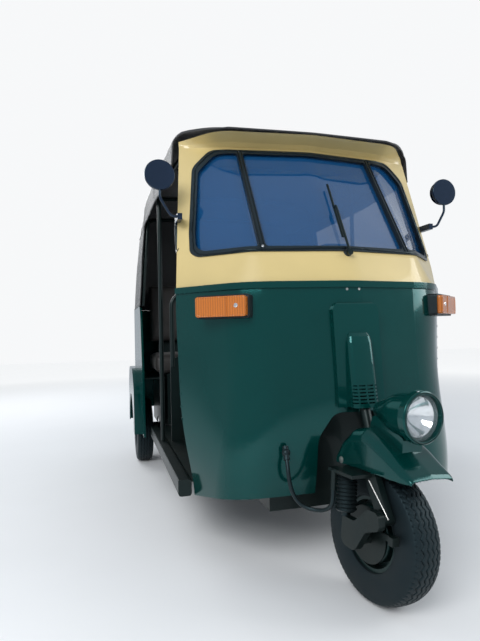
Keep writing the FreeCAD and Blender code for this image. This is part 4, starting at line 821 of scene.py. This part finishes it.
def edge_between(hits, hit, miss, halvings):
    """Where a test stops being true between a value that hits and one that misses."""
    for attempt in range(halvings):
        middle = (hit + miss) / 2
        if hits(middle):
            hit = middle
        else:
            miss = middle
    return hit


def first_found(spot_at, angle, place, nudge, tries, shift):
    """What a line of sight finds, nudged in its angle and shifted in its place until it finds something."""
    found = spot_at(angle, place)
    for attempt in range(1, tries + 1):
        if found:
            break
        angle += nudge
        found = spot_at(angle, place - shift(attempt))
    return found


def without_gaps(grid):
    """Places that no line of sight found take the place of their neighbour in the same column."""
    for order in (1, -1):
        rows = grid[::order]
        for row in range(1, len(rows)):
            missing = np.isnan(rows[row, :, 0])
            rows[row, missing] = rows[row - 1, missing]


def span_sag(station, stations):
    """How far between two supports a station is, as 0 on a support and 1 halfway."""
    for first, second in zip(stations, stations[1:]):
        if first <= station <= second:
            return math.sin(math.pi * (station - first) / (second - first)) ** 2
    return 0.0


# %% [markdown]
# Hood
# The hood is one sheet of coated canvas over three hoops and a rear rail. Its points lie on the outside
# of its solid and sink a little between the hoops, with short wrinkles that run out from them. The edge
# is hemmed, and a lapped welt runs over each hoop.

# %% Hood
HOOP_STATIONS = (640, 1150, 1730, 2150, 2262)
HOOD_EYE, HOOD_EDGE, HOOD_HALF = 1300, 1491, 566
HOOD_MISSED, HOOD_SEEN, HOOD_REAR = 420.0, 900.0, 2268
HOOD_ROWS, HOOD_COLUMNS = 150, 132
HOOD_SAG, HOOD_WRINKLE = 0.0055, 0.0011
HOOD_NUDGE, HOOD_SHIFT, HOOD_TRIES = 0.003, 0.2, 60
HOOD_ANGLE = math.atan2(HOOD_EDGE - HOOD_EYE, HOOD_HALF)
hood_tree = solid_tree("hood_roof")
hood_grid = np.full((HOOD_ROWS, HOOD_COLUMNS, 3), np.nan)


def hood_spot(angle, station):
    """The hood's outside at an angle in the cross-section that lies station behind the front axle."""
    out = Vector((math.cos(angle), 0, math.sin(angle)))
    eye = at(0, station, HOOD_EYE)
    found = landing(hood_tree, eye + out * SIGHT, -out)
    if found is None or (found[0] - eye).length < LEAST_REACH or found[1].dot(out) < 0.05:
        return None
    return found


for column in range(HOOD_COLUMNS):
    share = column / (HOOD_COLUMNS - 1)
    angle = fan_angle(HOOD_ANGLE, share)
    nudge = HOOD_NUDGE if angle < math.pi / 2 else -HOOD_NUDGE
    front = edge_between(lambda station: hood_spot(angle, station), HOOD_SEEN, HOOD_MISSED, halvings=14)
    for row in range(HOOD_ROWS):
        station = front + 1 + (HOOD_REAR - front - 1) * row / (HOOD_ROWS - 1)
        found = first_found(hood_spot, angle, station, nudge, HOOD_TRIES,
                            lambda attempt: attempt * HOOD_SHIFT)
        if found is None:
            continue
        spot, normal = found
        slack = span_sag(station, HOOP_STATIONS)
        side = abs(math.cos(angle))
        wrinkle = math.sin(station * 0.045 + 9 * share) * math.sin(share * 46 + station * 0.004)
        sag = HOOD_SAG * (1 - 0.6 * side) + HOOD_WRINKLE * wrinkle * (0.4 + side)
        hood_grid[row, column] = spot - normal * (CLOTH / 2 + slack * sag)
without_gaps(hood_grid)
hood_mesh, hood_area = closed_sheet("hood_canvas_roof", hood_grid)
hood_cover = piece("hood_canvas_roof", hood_mesh, hood_canvas, BODY, 70)
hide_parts("hood_roof")
hem_spots = [spot - Vector((0, 0, 0.003)) for spot in rim_of(hood_grid)]
hood_hem = edge_bar("hood_hem", hem_spots, 0.0034, hood_canvas, closed=True)
long_way = run_length(hood_grid[:, HOOD_COLUMNS // 2])
wide_way = run_length(hood_grid[HOOD_ROWS // 2])
print("hood sheet %.2f by %.2f m, %.3f square metres" % (wide_way, long_way, hood_area))

for number, station in enumerate(HOOP_STATIONS[1:4]):
    shares = [column / (HOOD_COLUMNS - 1) for column in range(2, HOOD_COLUMNS - 2)]
    found_spots = [hood_spot(fan_angle(HOOD_ANGLE, share), station) for share in shares]
    spots = [spot - normal * CLOTH for spot, normal in filter(None, found_spots)]
    edge_bar("hood_welt_%d" % number, spots, 0.0028, hood_canvas)

# %% [markdown]
# Back curtain
# The back curtain runs round the rear in one sheet, hangs in soft upright folds and has a clear window.
# Quads whose middle lies in the window are left out, and a bound edge covers the cut. The lines of sight
# come in from a ring round the rear, and a hem runs round the whole sheet.

# %% Back curtain
BACK_EYE, CURTAIN_START, CURTAIN_HALF = 1850, 1704, 590
BACK_LOW, BACK_SEEN, BACK_MISSED = 1004, 1470.0, 1670.0
BACK_ROWS, BACK_COLUMNS = 84, 168
BACK_ANGLE = math.atan2(CURTAIN_START - BACK_EYE, CURTAIN_HALF)
WINDOW_LOW, WINDOW_HIGH, WINDOW_HALF = 1186, 1424, 254
WINDOW_LAP, WINDOW_FLAT, BINDING_INSET = 8, 20, 2
FOLD_DEPTH = 0.0016
INWARD_TURN, INWARD_STEPS, BACK_SHIFT, BACK_TRIES = 0.012, 8, 0.45, 200
REAR_FACE = FRONT_AXLE_Y + 2.1
BEHIND_ALL = 2700
back_tree = solid_tree("hood_back", "hood_window")
back_grid = np.full((BACK_ROWS, BACK_COLUMNS, 3), np.nan)


def back_spot(angle, height):
    """The curtain's outside at an angle round the rear and a height."""
    out = Vector((math.cos(angle), math.sin(angle), 0))
    eye = at(0, BACK_EYE, height)
    found = landing(back_tree, eye + out * SIGHT, -out)
    if found is None or found[1].dot(out) < 0.1 or found[0].dot(out) - eye.dot(out) < LEAST_REACH:
        return None
    return found


def window_hole(row, column):
    x, y, z = (back_grid[row, column] + back_grid[row + 1, column + 1]) / 2
    level_with = WINDOW_LOW + WINDOW_LAP < z * 1000 < WINDOW_HIGH - WINDOW_LAP
    return y > REAR_FACE and abs(x * 1000) < WINDOW_HALF - WINDOW_LAP and level_with


for column in range(BACK_COLUMNS):
    share = column / (BACK_COLUMNS - 1)
    angle = fan_angle(BACK_ANGLE, share)
    inner = INWARD_TURN if angle < math.pi / 2 else -INWARD_TURN
    highest = edge_between(lambda height: back_spot(angle, height) or back_spot(angle + inner, height),
                           BACK_SEEN, BACK_MISSED, halvings=12)
    for row in range(BACK_ROWS):
        height = BACK_LOW + (highest - 1 - BACK_LOW) * row / (BACK_ROWS - 1)
        found = first_found(back_spot, angle, height, inner / INWARD_STEPS, BACK_TRIES,
                            lambda attempt: BACK_SHIFT * (attempt % 3))
        if found is None:
            continue
        spot, normal = found
        beside = abs(spot.x * 1000) < WINDOW_HALF + WINDOW_FLAT
        in_window = beside and WINDOW_LOW - WINDOW_FLAT < height < WINDOW_HIGH + WINDOW_FLAT
        fold = math.sin(share * 70 + math.sin(height * 0.006) * 2) * (1 - (row / BACK_ROWS) ** 2)
        loose = 0.0 if in_window else FOLD_DEPTH * (1 + fold) * math.sin(math.pi * row / (BACK_ROWS - 1))
        back_grid[row, column] = spot - normal * (CLOTH / 2 + loose)
without_gaps(back_grid)
back_mesh, back_area = closed_sheet("hood_canvas_back", back_grid, window_hole)
back_cover = piece("hood_canvas_back", back_mesh, hood_canvas, BODY, 70)
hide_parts("hood_back")
back_hem = edge_bar("hood_back_hem", rim_of(back_grid), 0.003, hood_canvas, closed=True)
back_wide = run_length(back_grid[0])
back_tall = run_length(back_grid[:, BACK_COLUMNS // 2])
print("back sheet %.2f by %.2f m, %.3f square metres" % (back_wide, back_tall, back_area))
binding = []
window_middle, window_reach = (WINDOW_LOW + WINDOW_HIGH) / 2, (WINDOW_HIGH - WINDOW_LOW) / 2 - BINDING_INSET
for across, upwards in rounded_loop(steps=64, power=0.28):
    x, z = (WINDOW_HALF - BINDING_INSET) * across, window_middle + window_reach * upwards
    found = landing(back_tree, at(x, BEHIND_ALL, z), FORWARDS)
    if found:
        binding.append(found[0] + found[1] * 0.0004)
window_binding = edge_bar("back_window_binding", binding, 0.0042, hood_canvas, closed=True)

# %% [markdown]
# Seat piping and floor mat
# Piping is a thin bar laid on the cushion where its top and its sides are sewn together. Each point of
# the loop is found by looking at the cushion from outside. The mat is a sheet of rubber with fine ribs.

# %% Seat piping, mat


def piping(pad, number, lift, axis=2):
    """A loop of piping round a pad, lift of the way up along an axis (2 is up, 1 is backwards)."""
    spots = [vertex.co for vertex in pad.data.vertices]
    low = Vector([min(spot[i] for spot in spots) for i in range(3)])
    high = Vector([max(spot[i] for spot in spots) for i in range(3)])
    tree = tree_of(pad.data)
    flat = [i for i in range(3) if i != axis]
    centre = (low + high) / 2
    centre[axis] = low[axis] + (high[axis] - low[axis]) * lift
    half = [(high[i] - low[i]) / 2 for i in flat]
    loop = []
    for first, second in rounded_loop(steps=160, power=0.3):
        goal = centre.copy()
        goal[flat[0]] += half[0] * 0.9 * first
        goal[flat[1]] += half[1] * 0.9 * second
        way = goal - centre
        found = landing(tree, centre + way * 1.8, -way.normalized())
        if found:
            loop.append(found[0] - found[1] * 0.001)
    return edge_bar("%s_piping_%d" % (pad.name, number), loop, 0.0032, seat_vinyl, closed=True)


def channel(pad, number, starts, way):
    """A sewn channel: a welt pressed into the face of a pad along given places."""
    tree = tree_of(pad.data)
    found_spots = [landing(tree, start, way) for start in starts]
    spots = [spot - normal * 0.0008 for spot, normal in filter(None, found_spots)]
    edge_bar("%s_channel_%d" % (pad.name, number), spots, 0.0024, seat_vinyl)


for pad_made in (driver_cushion, bench_cushion):
    piping(pad_made, 1, lift=0.80)
    piping(pad_made, 2, lift=0.22)
piping(driver_backrest, 1, lift=0.25, axis=1)

for number, x in enumerate((-318, -106, 106, 318)):
    channel(bench_backrest, number, [at(x, 1700, z) for z in range(785, 1160, 12)], BACKWARDS)
    channel(bench_cushion, number, [at(x, y, 1200) for y in range(1640, 2060, 14)], DOWNWARDS)
for number, x in enumerate((-90, 90)):
    channel(driver_cushion, number, [at(x, y, 1200) for y in range(805, 1050, 12)], DOWNWARDS)

MAT_HALF, MAT_FRONT, MAT_LENGTH, MAT_RISE, MAT_RIDGE = 0.43, 1.225, 0.285, 0.002, 0.0016
MAT_ACROSS, MAT_ALONG = 180, 4
mat_level = RECORD_MOUNTS["cabin_floor_top"].z + 0.0004
mat_grid = np.zeros((MAT_ALONG, MAT_ACROSS, 3))
for row in range(MAT_ALONG):
    for column in range(MAT_ACROSS):
        x = -MAT_HALF + 2 * MAT_HALF * column / (MAT_ACROSS - 1)
        y = FRONT_AXLE_Y + MAT_FRONT + MAT_LENGTH * row / (MAT_ALONG - 1)
        ridge = MAT_RIDGE if column % 4 in (1, 2) else 0.0
        mat_grid[row, column] = (x, y, mat_level + MAT_RISE + ridge)
piece("floor_mat", closed_sheet("floor_mat", mat_grid)[0], seal_rubber, BODY, 20)
print("floor mat", MAT_ACROSS, "by", MAT_ALONG, "points")

# %% [markdown]
# Headlamp
# The lamp needs depth behind its glass. A chromed bowl follows a parabola, as a real reflector does, a
# small bulb stands in it, and the glass in front is clear with upright flutes.

# %% Headlamp
LAMP_FRONT, LAMP_HEIGHT = -169, 575
BOWL_REACH, BOWL_DEPTH, BOWL_STEPS, BOWL_START, BOWL_WALL = 56.5, 42, 16, 24, 1.2


def lamp_part(name, profile, finish, steps=72):
    """A turned part of the lamp, drawn from its front and then parked with the steering."""
    mesh = lathe(profile, at(0, LAMP_FRONT, LAMP_HEIGHT), FORWARDS, steps)
    mesh.transform(Matrix.Translation(STEER_FOOT) @ PARKED_TURN.to_4x4() @ Matrix.Translation(-STEER_FOOT))
    return piece(name, mesh, finish, STEERING, 40)


bowl = [(-BOWL_START - BOWL_DEPTH * (1 - (step / BOWL_STEPS) ** 2), BOWL_REACH * step / BOWL_STEPS)
        for step in range(BOWL_STEPS + 1)]
bowl_back = [(along - BOWL_WALL, radius) for along, radius in reversed(bowl)]
bowl_lip = [(-22.5, BOWL_REACH + 1.5), (-23.7, BOWL_REACH + 1.5)]
bulb = [(-66, 0), (-66, 8), (-52, 8), (-50, 6), (-40, 6.5), (-36, 4.5), (-34, 0)]
bead = [(0.2, 68.6), (1.6, 69.6), (1.6, 71.4), (0.2, 72.6), (-0.6, 72.6), (-0.6, 68.6)]
lamp_part("headlamp_reflector", bowl + bowl_lip + bowl_back, chrome)
lamp_part("headlamp_bulb", bulb, lamp_glass, 24)
lamp_part("headlamp_rim_bead", bead, wheel_enamel)
print("reflector of", len(bowl), "rings, focus about", round(BOWL_REACH ** 2 / 4 / BOWL_DEPTH, 1), "mm deep")

# %% [markdown]
# Mudguard
# The pressed guard is drawn from flat rows. A fine remesh and a little smoothing turn its folds into
# the soft edges that a press leaves, without moving its outline by more than a few millimetres.

# %% Mudguard


def pressed(name, node, finish, body, voxel, passes):
    """A copy of a sheet-metal solid with its folds softened; it then stands for the solid."""
    obj = linked(name, NODES[node].data.copy())
    remesh = obj.modifiers.new("even", "REMESH")
    remesh.mode = "VOXEL"
    remesh.voxel_size = voxel
    smooth = obj.modifiers.new("smooth", "SMOOTH")
    smooth.factor = 0.5
    smooth.iterations = passes
    made = plain_mesh(obj)
    bpy.data.objects.remove(obj)
    shown = piece(name, made, finish, body, 70)
    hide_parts(node)
    print(name, len(made.polygons), "faces")


pressed("mudguard_pressing", "mudguard", green, STEERING, 0.0022, 14)

# %% [markdown]
# Bolts, screws and rivets
# Each row is a list of places found by looking at the solids: along the flange where the front
# pressing meets its edge strip, round the tail, on the wheels and where the photograph shows a head.

# %% Bolts, screws and rivets
BESIDE_ALL = 0.9
FLANGE_INSET = 0.012
PANEL_SCREW_PIXELS = ((347, 289), (359, 289))
FORK_BOLT_PIXELS = ((341.3, 459.5), (359.5, 507), (352, 531))
SCREEN_CLIP_PIXELS = ((238, 151), (263, 246), (364, 160), (406, 246))
LAMP_SCREW_PIXELS = ((418, 391.6),)


def seen_spots(tree, pixels):
    return [seen_at(tree, across, down) for across, down in pixels]


shell_tree = solid_tree("front_shell")
shell_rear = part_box("front_shell")[1].y
flange_spots = []
for side, label in SIDES:
    for height in range(420, 940, 46):
        start = Vector((side * BESIDE_ALL, shell_rear - FLANGE_INSET, height / 1000))
        flange_spots.append(landing(shell_tree, start, Vector((-side, 0, 0))))
heads("flange_rivets", "rivet", flange_spots, 9, 2.4, green, BODY)
heads("panel_screws", "rivet", seen_spots(shell_tree, PANEL_SCREW_PIXELS), 9, 2.6, zinc, BODY)

fork_tree = solid_tree("steering_fork", "mudguard", "front_shock")
heads("fork_bolts", "bolt", seen_spots(fork_tree, FORK_BOLT_PIXELS), 15, 5, zinc, STEERING)

seal_tree = solid_tree("windscreen_seal")
heads("screen_clips", "rivet", seen_spots(seal_tree, SCREEN_CLIP_PIXELS), 11, 3, chrome, BODY)

rim_tree = solid_tree("headlamp_rim", "headlamp_bucket")
heads("headlamp_screw", "rivet", seen_spots(rim_tree, LAMP_SCREW_PIXELS), 8, 3, chrome, STEERING)

tail_tree = solid_tree("tail_panel")
tail_spots = [landing(tail_tree, at(x, BEHIND_ALL, z), FORWARDS)
              for x in (-500, 500) for z in range(440, 960, 65)]
heads("tail_rivets", "rivet", tail_spots, 9, 2.4, green, BODY)

BUTTONS, BUTTON_HEIGHT, BUTTON_INSET = 17, 1022, 0.03
button_angles = [fan_angle(BACK_ANGLE + BUTTON_INSET, step / (BUTTONS - 1)) for step in range(BUTTONS)]
button_spots = [back_spot(angle, BUTTON_HEIGHT) for angle in button_angles]
heads("curtain_buttons", "rivet", button_spots, 13, 4, zinc, BODY)

# %% [markdown]
# Wheel nuts
# Each pressed rim is held by four nuts on a circle round its axle. The axle's place and direction come
# from the joint that the wheel rolls on, so the nuts keep their circle wherever the wheel is put.

# %% Wheel nuts
NUT_CIRCLE, NUTS, NUT_SIGHT = 0.052, 4, 0.25


def wheel_nuts(name, joint_name, node, body, side):
    """Nuts on a circle round the axle of a rolling joint, on one side of its wheel."""
    joint = RECORD_JOINTS[joint_name]
    axis = Vector(joint["axis"]).normalized()
    centre = Vector(joint["pos_m"])
    tree = solid_tree(node)
    first = axis.cross(Vector((0, 0, 1))).normalized()
    spots = []
    for step in range(NUTS):
        arm = Matrix.Rotation(math.tau * (step + 0.5) / NUTS, 3, axis) @ first * NUT_CIRCLE
        spots.append(landing(tree, centre + arm + axis * NUT_SIGHT * side, -axis * side))
    heads(name, "bolt", spots, 19, 8, zinc, body)


wheel_nuts("nuts_front", "front_wheel_roll", "rim_front", FRONT_WHEEL, 1)
wheel_nuts("nuts_rear_left", "rear_wheel_left_roll", "rim_rear_left", "rear_wheel_left", 1)
wheel_nuts("nuts_rear_right", "rear_wheel_right_roll", "rim_rear_right", "rear_wheel_right", -1)

# %% [markdown]
# Mirrors and wiper base
# The mirror glass is a thin silvered disc on the driver's side of each head. The wiper's spindle comes
# out of a bell-shaped boot that sits on the frame below the screen.

# %% Mirrors, wiper base
MIRROR_ACROSS, MIRROR_HEIGHT = 612, 1414
WIPER_ACROSS, WIPER_HEIGHT, AHEAD_OF_SCREEN = 12, 1097, -300
MIRROR_DISC = [(-0.5, 0), (0.7, 0), (0.7, 50.5), (0.2, 51.5), (-0.5, 51.5)]
BOOT = [(-1, 0), (-1, 15), (1.5, 15.5), (5, 12.5), (10, 10.5), (14, 10), (14, 0)]
mirror_tree = solid_tree("mirrors")
for side, label in SIDES:
    found = landing(mirror_tree, at(side * MIRROR_ACROSS, 700, MIRROR_HEIGHT), FORWARDS)
    if found:
        piece("mirror_glass_" + label, lathe(MIRROR_DISC, *found), mirror_glass, BODY)

frame_tree = solid_tree("windscreen_frame")
found = landing(frame_tree, at(WIPER_ACROSS, AHEAD_OF_SCREEN, WIPER_HEIGHT), BACKWARDS)
if found:
    piece("wiper_boot", lathe(BOOT, *found, 40), black_plastic, BODY)
    print("wiper boot at", [round(v, 3) for v in found[0]])

# %% [markdown]
# Screen bars and beads
# The two screen bars are pressed strips with a pair of glossy ribs, and a locking bead runs round the
# rubber seal. The steel frame ends in a rolled edge along the doorway. All of them are bars through
# places that lines of sight find on the solids.

# %% Screen bars, beads
glossy_black = rubber("glossy_black_strip", (0.004, 0.006, 0.008), 0.10, 0.00002, 0.1, 0.02)
BAR_ACROSS, RIB_APART, RIB_RADIUS = 283, 6.6, 0.0026
SCREEN_EYE, BEAD_STEPS, BEAD_INSET, BEAD_RADIUS = 1300, 220, 10, 0.0034
ROLLED_EDGE, DOORWAY_ACROSS = 0.0042, 0.44
ON_SURFACE = 0.0002
BEFORE_SCREEN = -400
SCREEN_REAR = FRONT_AXLE_Y + 0.75
for side, label in SIDES:
    for number, shift in enumerate((-RIB_APART, RIB_APART)):
        starts = [at(side * BAR_ACROSS + shift, BEFORE_SCREEN, height) for height in range(1090, 1560, 8)]
        found_spots = [landing(seal_tree, start, BACKWARDS) for start in starts]
        spots = [spot + normal * ON_SURFACE for spot, normal in filter(None, found_spots)
                 if spot.y < SCREEN_REAR]
        edge_bar("screen_bar_rib_%s_%d" % (label, number), spots, RIB_RADIUS, glossy_black)

bead_spots = []
eye = at(0, BEFORE_SCREEN, SCREEN_EYE)
for step in range(BEAD_STEPS):
    angle = step * math.tau / BEAD_STEPS
    out = Vector((math.cos(angle), 0, math.sin(angle)))
    for reach in range(900, 120, -3):
        found = landing(seal_tree, eye + out * (reach / 1000), BACKWARDS)
        if found:
            inner = landing(seal_tree, eye + out * ((reach - BEAD_INSET) / 1000), BACKWARDS)
            spot, normal = inner or found
            bead_spots.append(spot + normal * ON_SURFACE)
            break
edge_bar("seal_locking_bead", bead_spots, BEAD_RADIUS, glossy_black, closed=True)

frame_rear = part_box("windscreen_frame")[1].y
for side, label in SIDES:
    spots = []
    for height in range(985, 1600, 9):
        for inset in range(3, 60, 4):
            start = Vector((side * BESIDE_ALL, frame_rear - inset / 1000, height / 1000))
            found = landing(frame_tree, start, Vector((-side, 0, 0)))
            if found and abs(found[0].x) > DOORWAY_ACROSS:
                spots.append(found[0])
                break
    edge_bar("doorway_edge_" + label, spots, ROLLED_EDGE, cream)
print("locking bead through", len(bead_spots), "places")

# %% [markdown]
# Turn signals
# Each lens is moulded in two cells with a rib between them and a rounded edge, and one chromed screw
# holds it. The seats of the signals are turned to follow the shell, so their trim is drawn flat and
# then turned by the same angle.

# %% Turn signals
SIGNAL_ACROSS, SIGNAL_BEHIND, SIGNAL_HEIGHT, SIGNAL_SWING = 426, 254, 913, 38
SIGNAL_FACE, SIGNAL_HALF, SIGNAL_HALF_HEIGHT = 32.2, 89.5, 31.5
CELL_EDGE, SCREW_ACROSS = 22, 57
DISH = [(-0.5, 0), (-0.5, 7.2), (0.9, 7.2), (1.8, 5.6), (2.9, 4.6), (3.2, 0)]


def signal_place(side, across, ahead_of, height):
    """A place on a turn signal: across its face, ahead of its seat and above its middle."""
    swing = math.radians(SIGNAL_SWING) * side
    x = side * SIGNAL_ACROSS + math.cos(swing) * across + math.sin(swing) * ahead_of
    y = SIGNAL_BEHIND + math.sin(swing) * across - math.cos(swing) * ahead_of
    return at(x, y, SIGNAL_HEIGHT + height)


for side, label in SIDES:
    rib = [signal_place(side, -side * CELL_EDGE, SIGNAL_FACE, height) for height in (-32, -10, 10, 32)]
    edge_bar("signal_rib_" + label, rib, 0.0017, amber)
    edge = [signal_place(side, SIGNAL_HALF * across, SIGNAL_FACE - 0.6, SIGNAL_HALF_HEIGHT * upwards)
            for across, upwards in rounded_loop(steps=72, power=0.25)]
    edge_bar("signal_edge_" + label, edge, 0.0014, amber, closed=True)
    swing = math.radians(SIGNAL_SWING) * side
    facing = Vector((math.sin(swing), -math.cos(swing), 0))
    spot = signal_place(side, -side * SCREW_ACROSS, SIGNAL_FACE, 2)
    piece("signal_screw_" + label, lathe(DISH, spot, facing, 24), chrome, BODY)
    print("signal", label, "at", [round(v, 3) for v in spot])

# %% [markdown]
# Dial and fork rod
# The dashboard carries one round dial in a turned ring, with a short needle. A thin bright rod lies
# along the fork's leg. It is found as the camera sees it: each pixel of its line in the photograph gives
# a line of sight, and the place where that meets the leg is on the rod.

# %% Dial, fork rod
DIAL_BELOW_TOP, DIAL_LIFT = 45, 0.004
DIAL_RING = [(-1, 39), (-1, 45), (6, 45), (9, 43), (9, 41), (4, 39)]
DIAL_FACE = [(-1, 0), (-1, 39.5), (1.5, 39.5), (2, 0)]
NEEDLE = Vector((0.020, 0, 0.018))
dash_tree = solid_tree("dashboard")
dial_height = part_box("dashboard")[1].z * 1000 - DIAL_BELOW_TOP
found = landing(dash_tree, at(0, 700, dial_height), FORWARDS)
if found:
    piece("dial_ring", lathe(DIAL_RING, *found, 48), chrome, BODY)
    piece("dial_face", lathe(DIAL_FACE, *found, 48), black_plastic, BODY)
    needle_foot = found[0] + found[1] * DIAL_LIFT
    edge_bar("dial_needle", [needle_foot, needle_foot + NEEDLE], 0.0009, amber)

ROD_PIXELS = ((369, 480), (373, 488), (377, 496), (381, 504), (385, 512), (388, 520), (391, 528))
ROD_RADIUS, ROD_LIFT, LONGEST_STEP = 0.0021, 0.0012, 0.06
leg_tree = solid_tree("steering_fork", "trailing_link")
rod_line = [spot + normal * ROD_LIFT for spot, normal in filter(None, seen_spots(leg_tree, ROD_PIXELS))]
rod_steps = [(b - a).length for a, b in zip(rod_line, rod_line[1:])]
if rod_steps and max(rod_steps) < LONGEST_STEP:
    piece("fork_rod", bar_mesh(rod_line, ROD_RADIUS), zinc, STEERING)
print("fork rod steps", [round(step, 3) for step in rod_steps])

# %% [markdown]
# Floor and light
# A pale floor and three broad soft lamps are enough for a vehicle with this much gloss: what the paint
# mirrors is as important as what lights it. The world is nearly white to the camera and through glass,
# and a softer blue-grey to everything else. The far floor glows a little, for the camera alone, so that
# no dark band shows where it meets the world.

# %% Floor, lamps, world
STUDIO_WHITE = (0.86, 0.87, 0.88)
FAR_FLOOR = (0.46, 0.44, 0.41)
FLOOR_REACH = 14.0
floor_corners = [(x * FLOOR_REACH, y * FLOOR_REACH, 0) for x, y in ((-1, -1), (1, -1), (1, 1), (-1, 1))]
floor_data = bpy.data.meshes.new("studio_floor")
floor_data.from_pydata(floor_corners, [], [(0, 1, 2, 3)])
studio_floor = linked("studio_floor", floor_data)
floor_finish = Finish("studio_floor")
across_floor, along_floor = floor_finish.axis("X"), floor_finish.axis("Y")
far_away = (across_floor * across_floor + along_floor * along_floor).ramp(5.0, 60.0)
by_camera = floor_finish.node("LightPath", {}, output="Is Camera Ray")
floor_white = floor_finish.mix(floor_finish.noise(3.0), STUDIO_WHITE, tone(STUDIO_WHITE, 0.97))
floor_glow = floor_finish.mix(far_away * by_camera, (0, 0, 0), FAR_FLOOR)
floor_data.materials.append(floor_finish.surface(
    Base_Color=floor_white, Roughness=0.6, Emission_Color=floor_glow, Emission_Strength=1.0))


def lamp(name, place, target, size, power):
    """A soft rectangular lamp in metres and watts, turned towards its target."""
    data = bpy.data.lights.new(name, "AREA")
    data.shape = "RECTANGLE"
    data.size, data.size_y = size
    data.energy = power
    obj = linked(name, data)
    look = (Vector(target) - Vector(place)).to_track_quat("-Z", "Y")
    obj.matrix_world = Matrix.Translation(place) @ look.to_matrix().to_4x4()


lamp("key_lamp", place=(-3.2, -4.2, 3.6), target=(0, -0.6, 0.8), size=(3.0, 2.2), power=190)
lamp("fill_lamp", place=(4.2, -2.2, 2.6), target=(0, -0.2, 0.8), size=(2.6, 2.6), power=90)
lamp("rear_lamp", place=(-2.6, 4.2, 3.4), target=(0, 0.6, 0.8), size=(3.0, 2.0), power=90)

SKY_LIGHT, SKY_STRENGTH = (0.80, 0.86, 0.93, 1), 0.62
BACKDROP = (0.93, 0.94, 0.95, 1)
world = bpy.data.worlds.new("studio")
bpy.context.scene.world = world
world.use_nodes = True
tree = world.node_tree
tree.nodes.clear()
rays, seen, plain, light, choice, out = (tree.nodes.new("ShaderNode" + kind) for kind in (
    "LightPath", "Math", "Background", "Background", "MixShader", "OutputWorld"))
seen.operation = "MAXIMUM"
light.inputs["Color"].default_value = SKY_LIGHT
light.inputs["Strength"].default_value = SKY_STRENGTH
plain.inputs["Color"].default_value = BACKDROP
for source, target in ((rays.outputs["Is Camera Ray"], seen.inputs[0]),
                       (rays.outputs["Is Transmission Ray"], seen.inputs[1]),
                       (seen.outputs[0], choice.inputs["Fac"]),
                       (light.outputs[0], choice.inputs[1]),
                       (plain.outputs[0], choice.inputs[2]),
                       (choice.outputs[0], out.inputs["Surface"])):
    tree.links.new(source, target)
bpy.context.scene.view_settings.view_transform = "Standard"
print("floor, three lamps and a plain world")
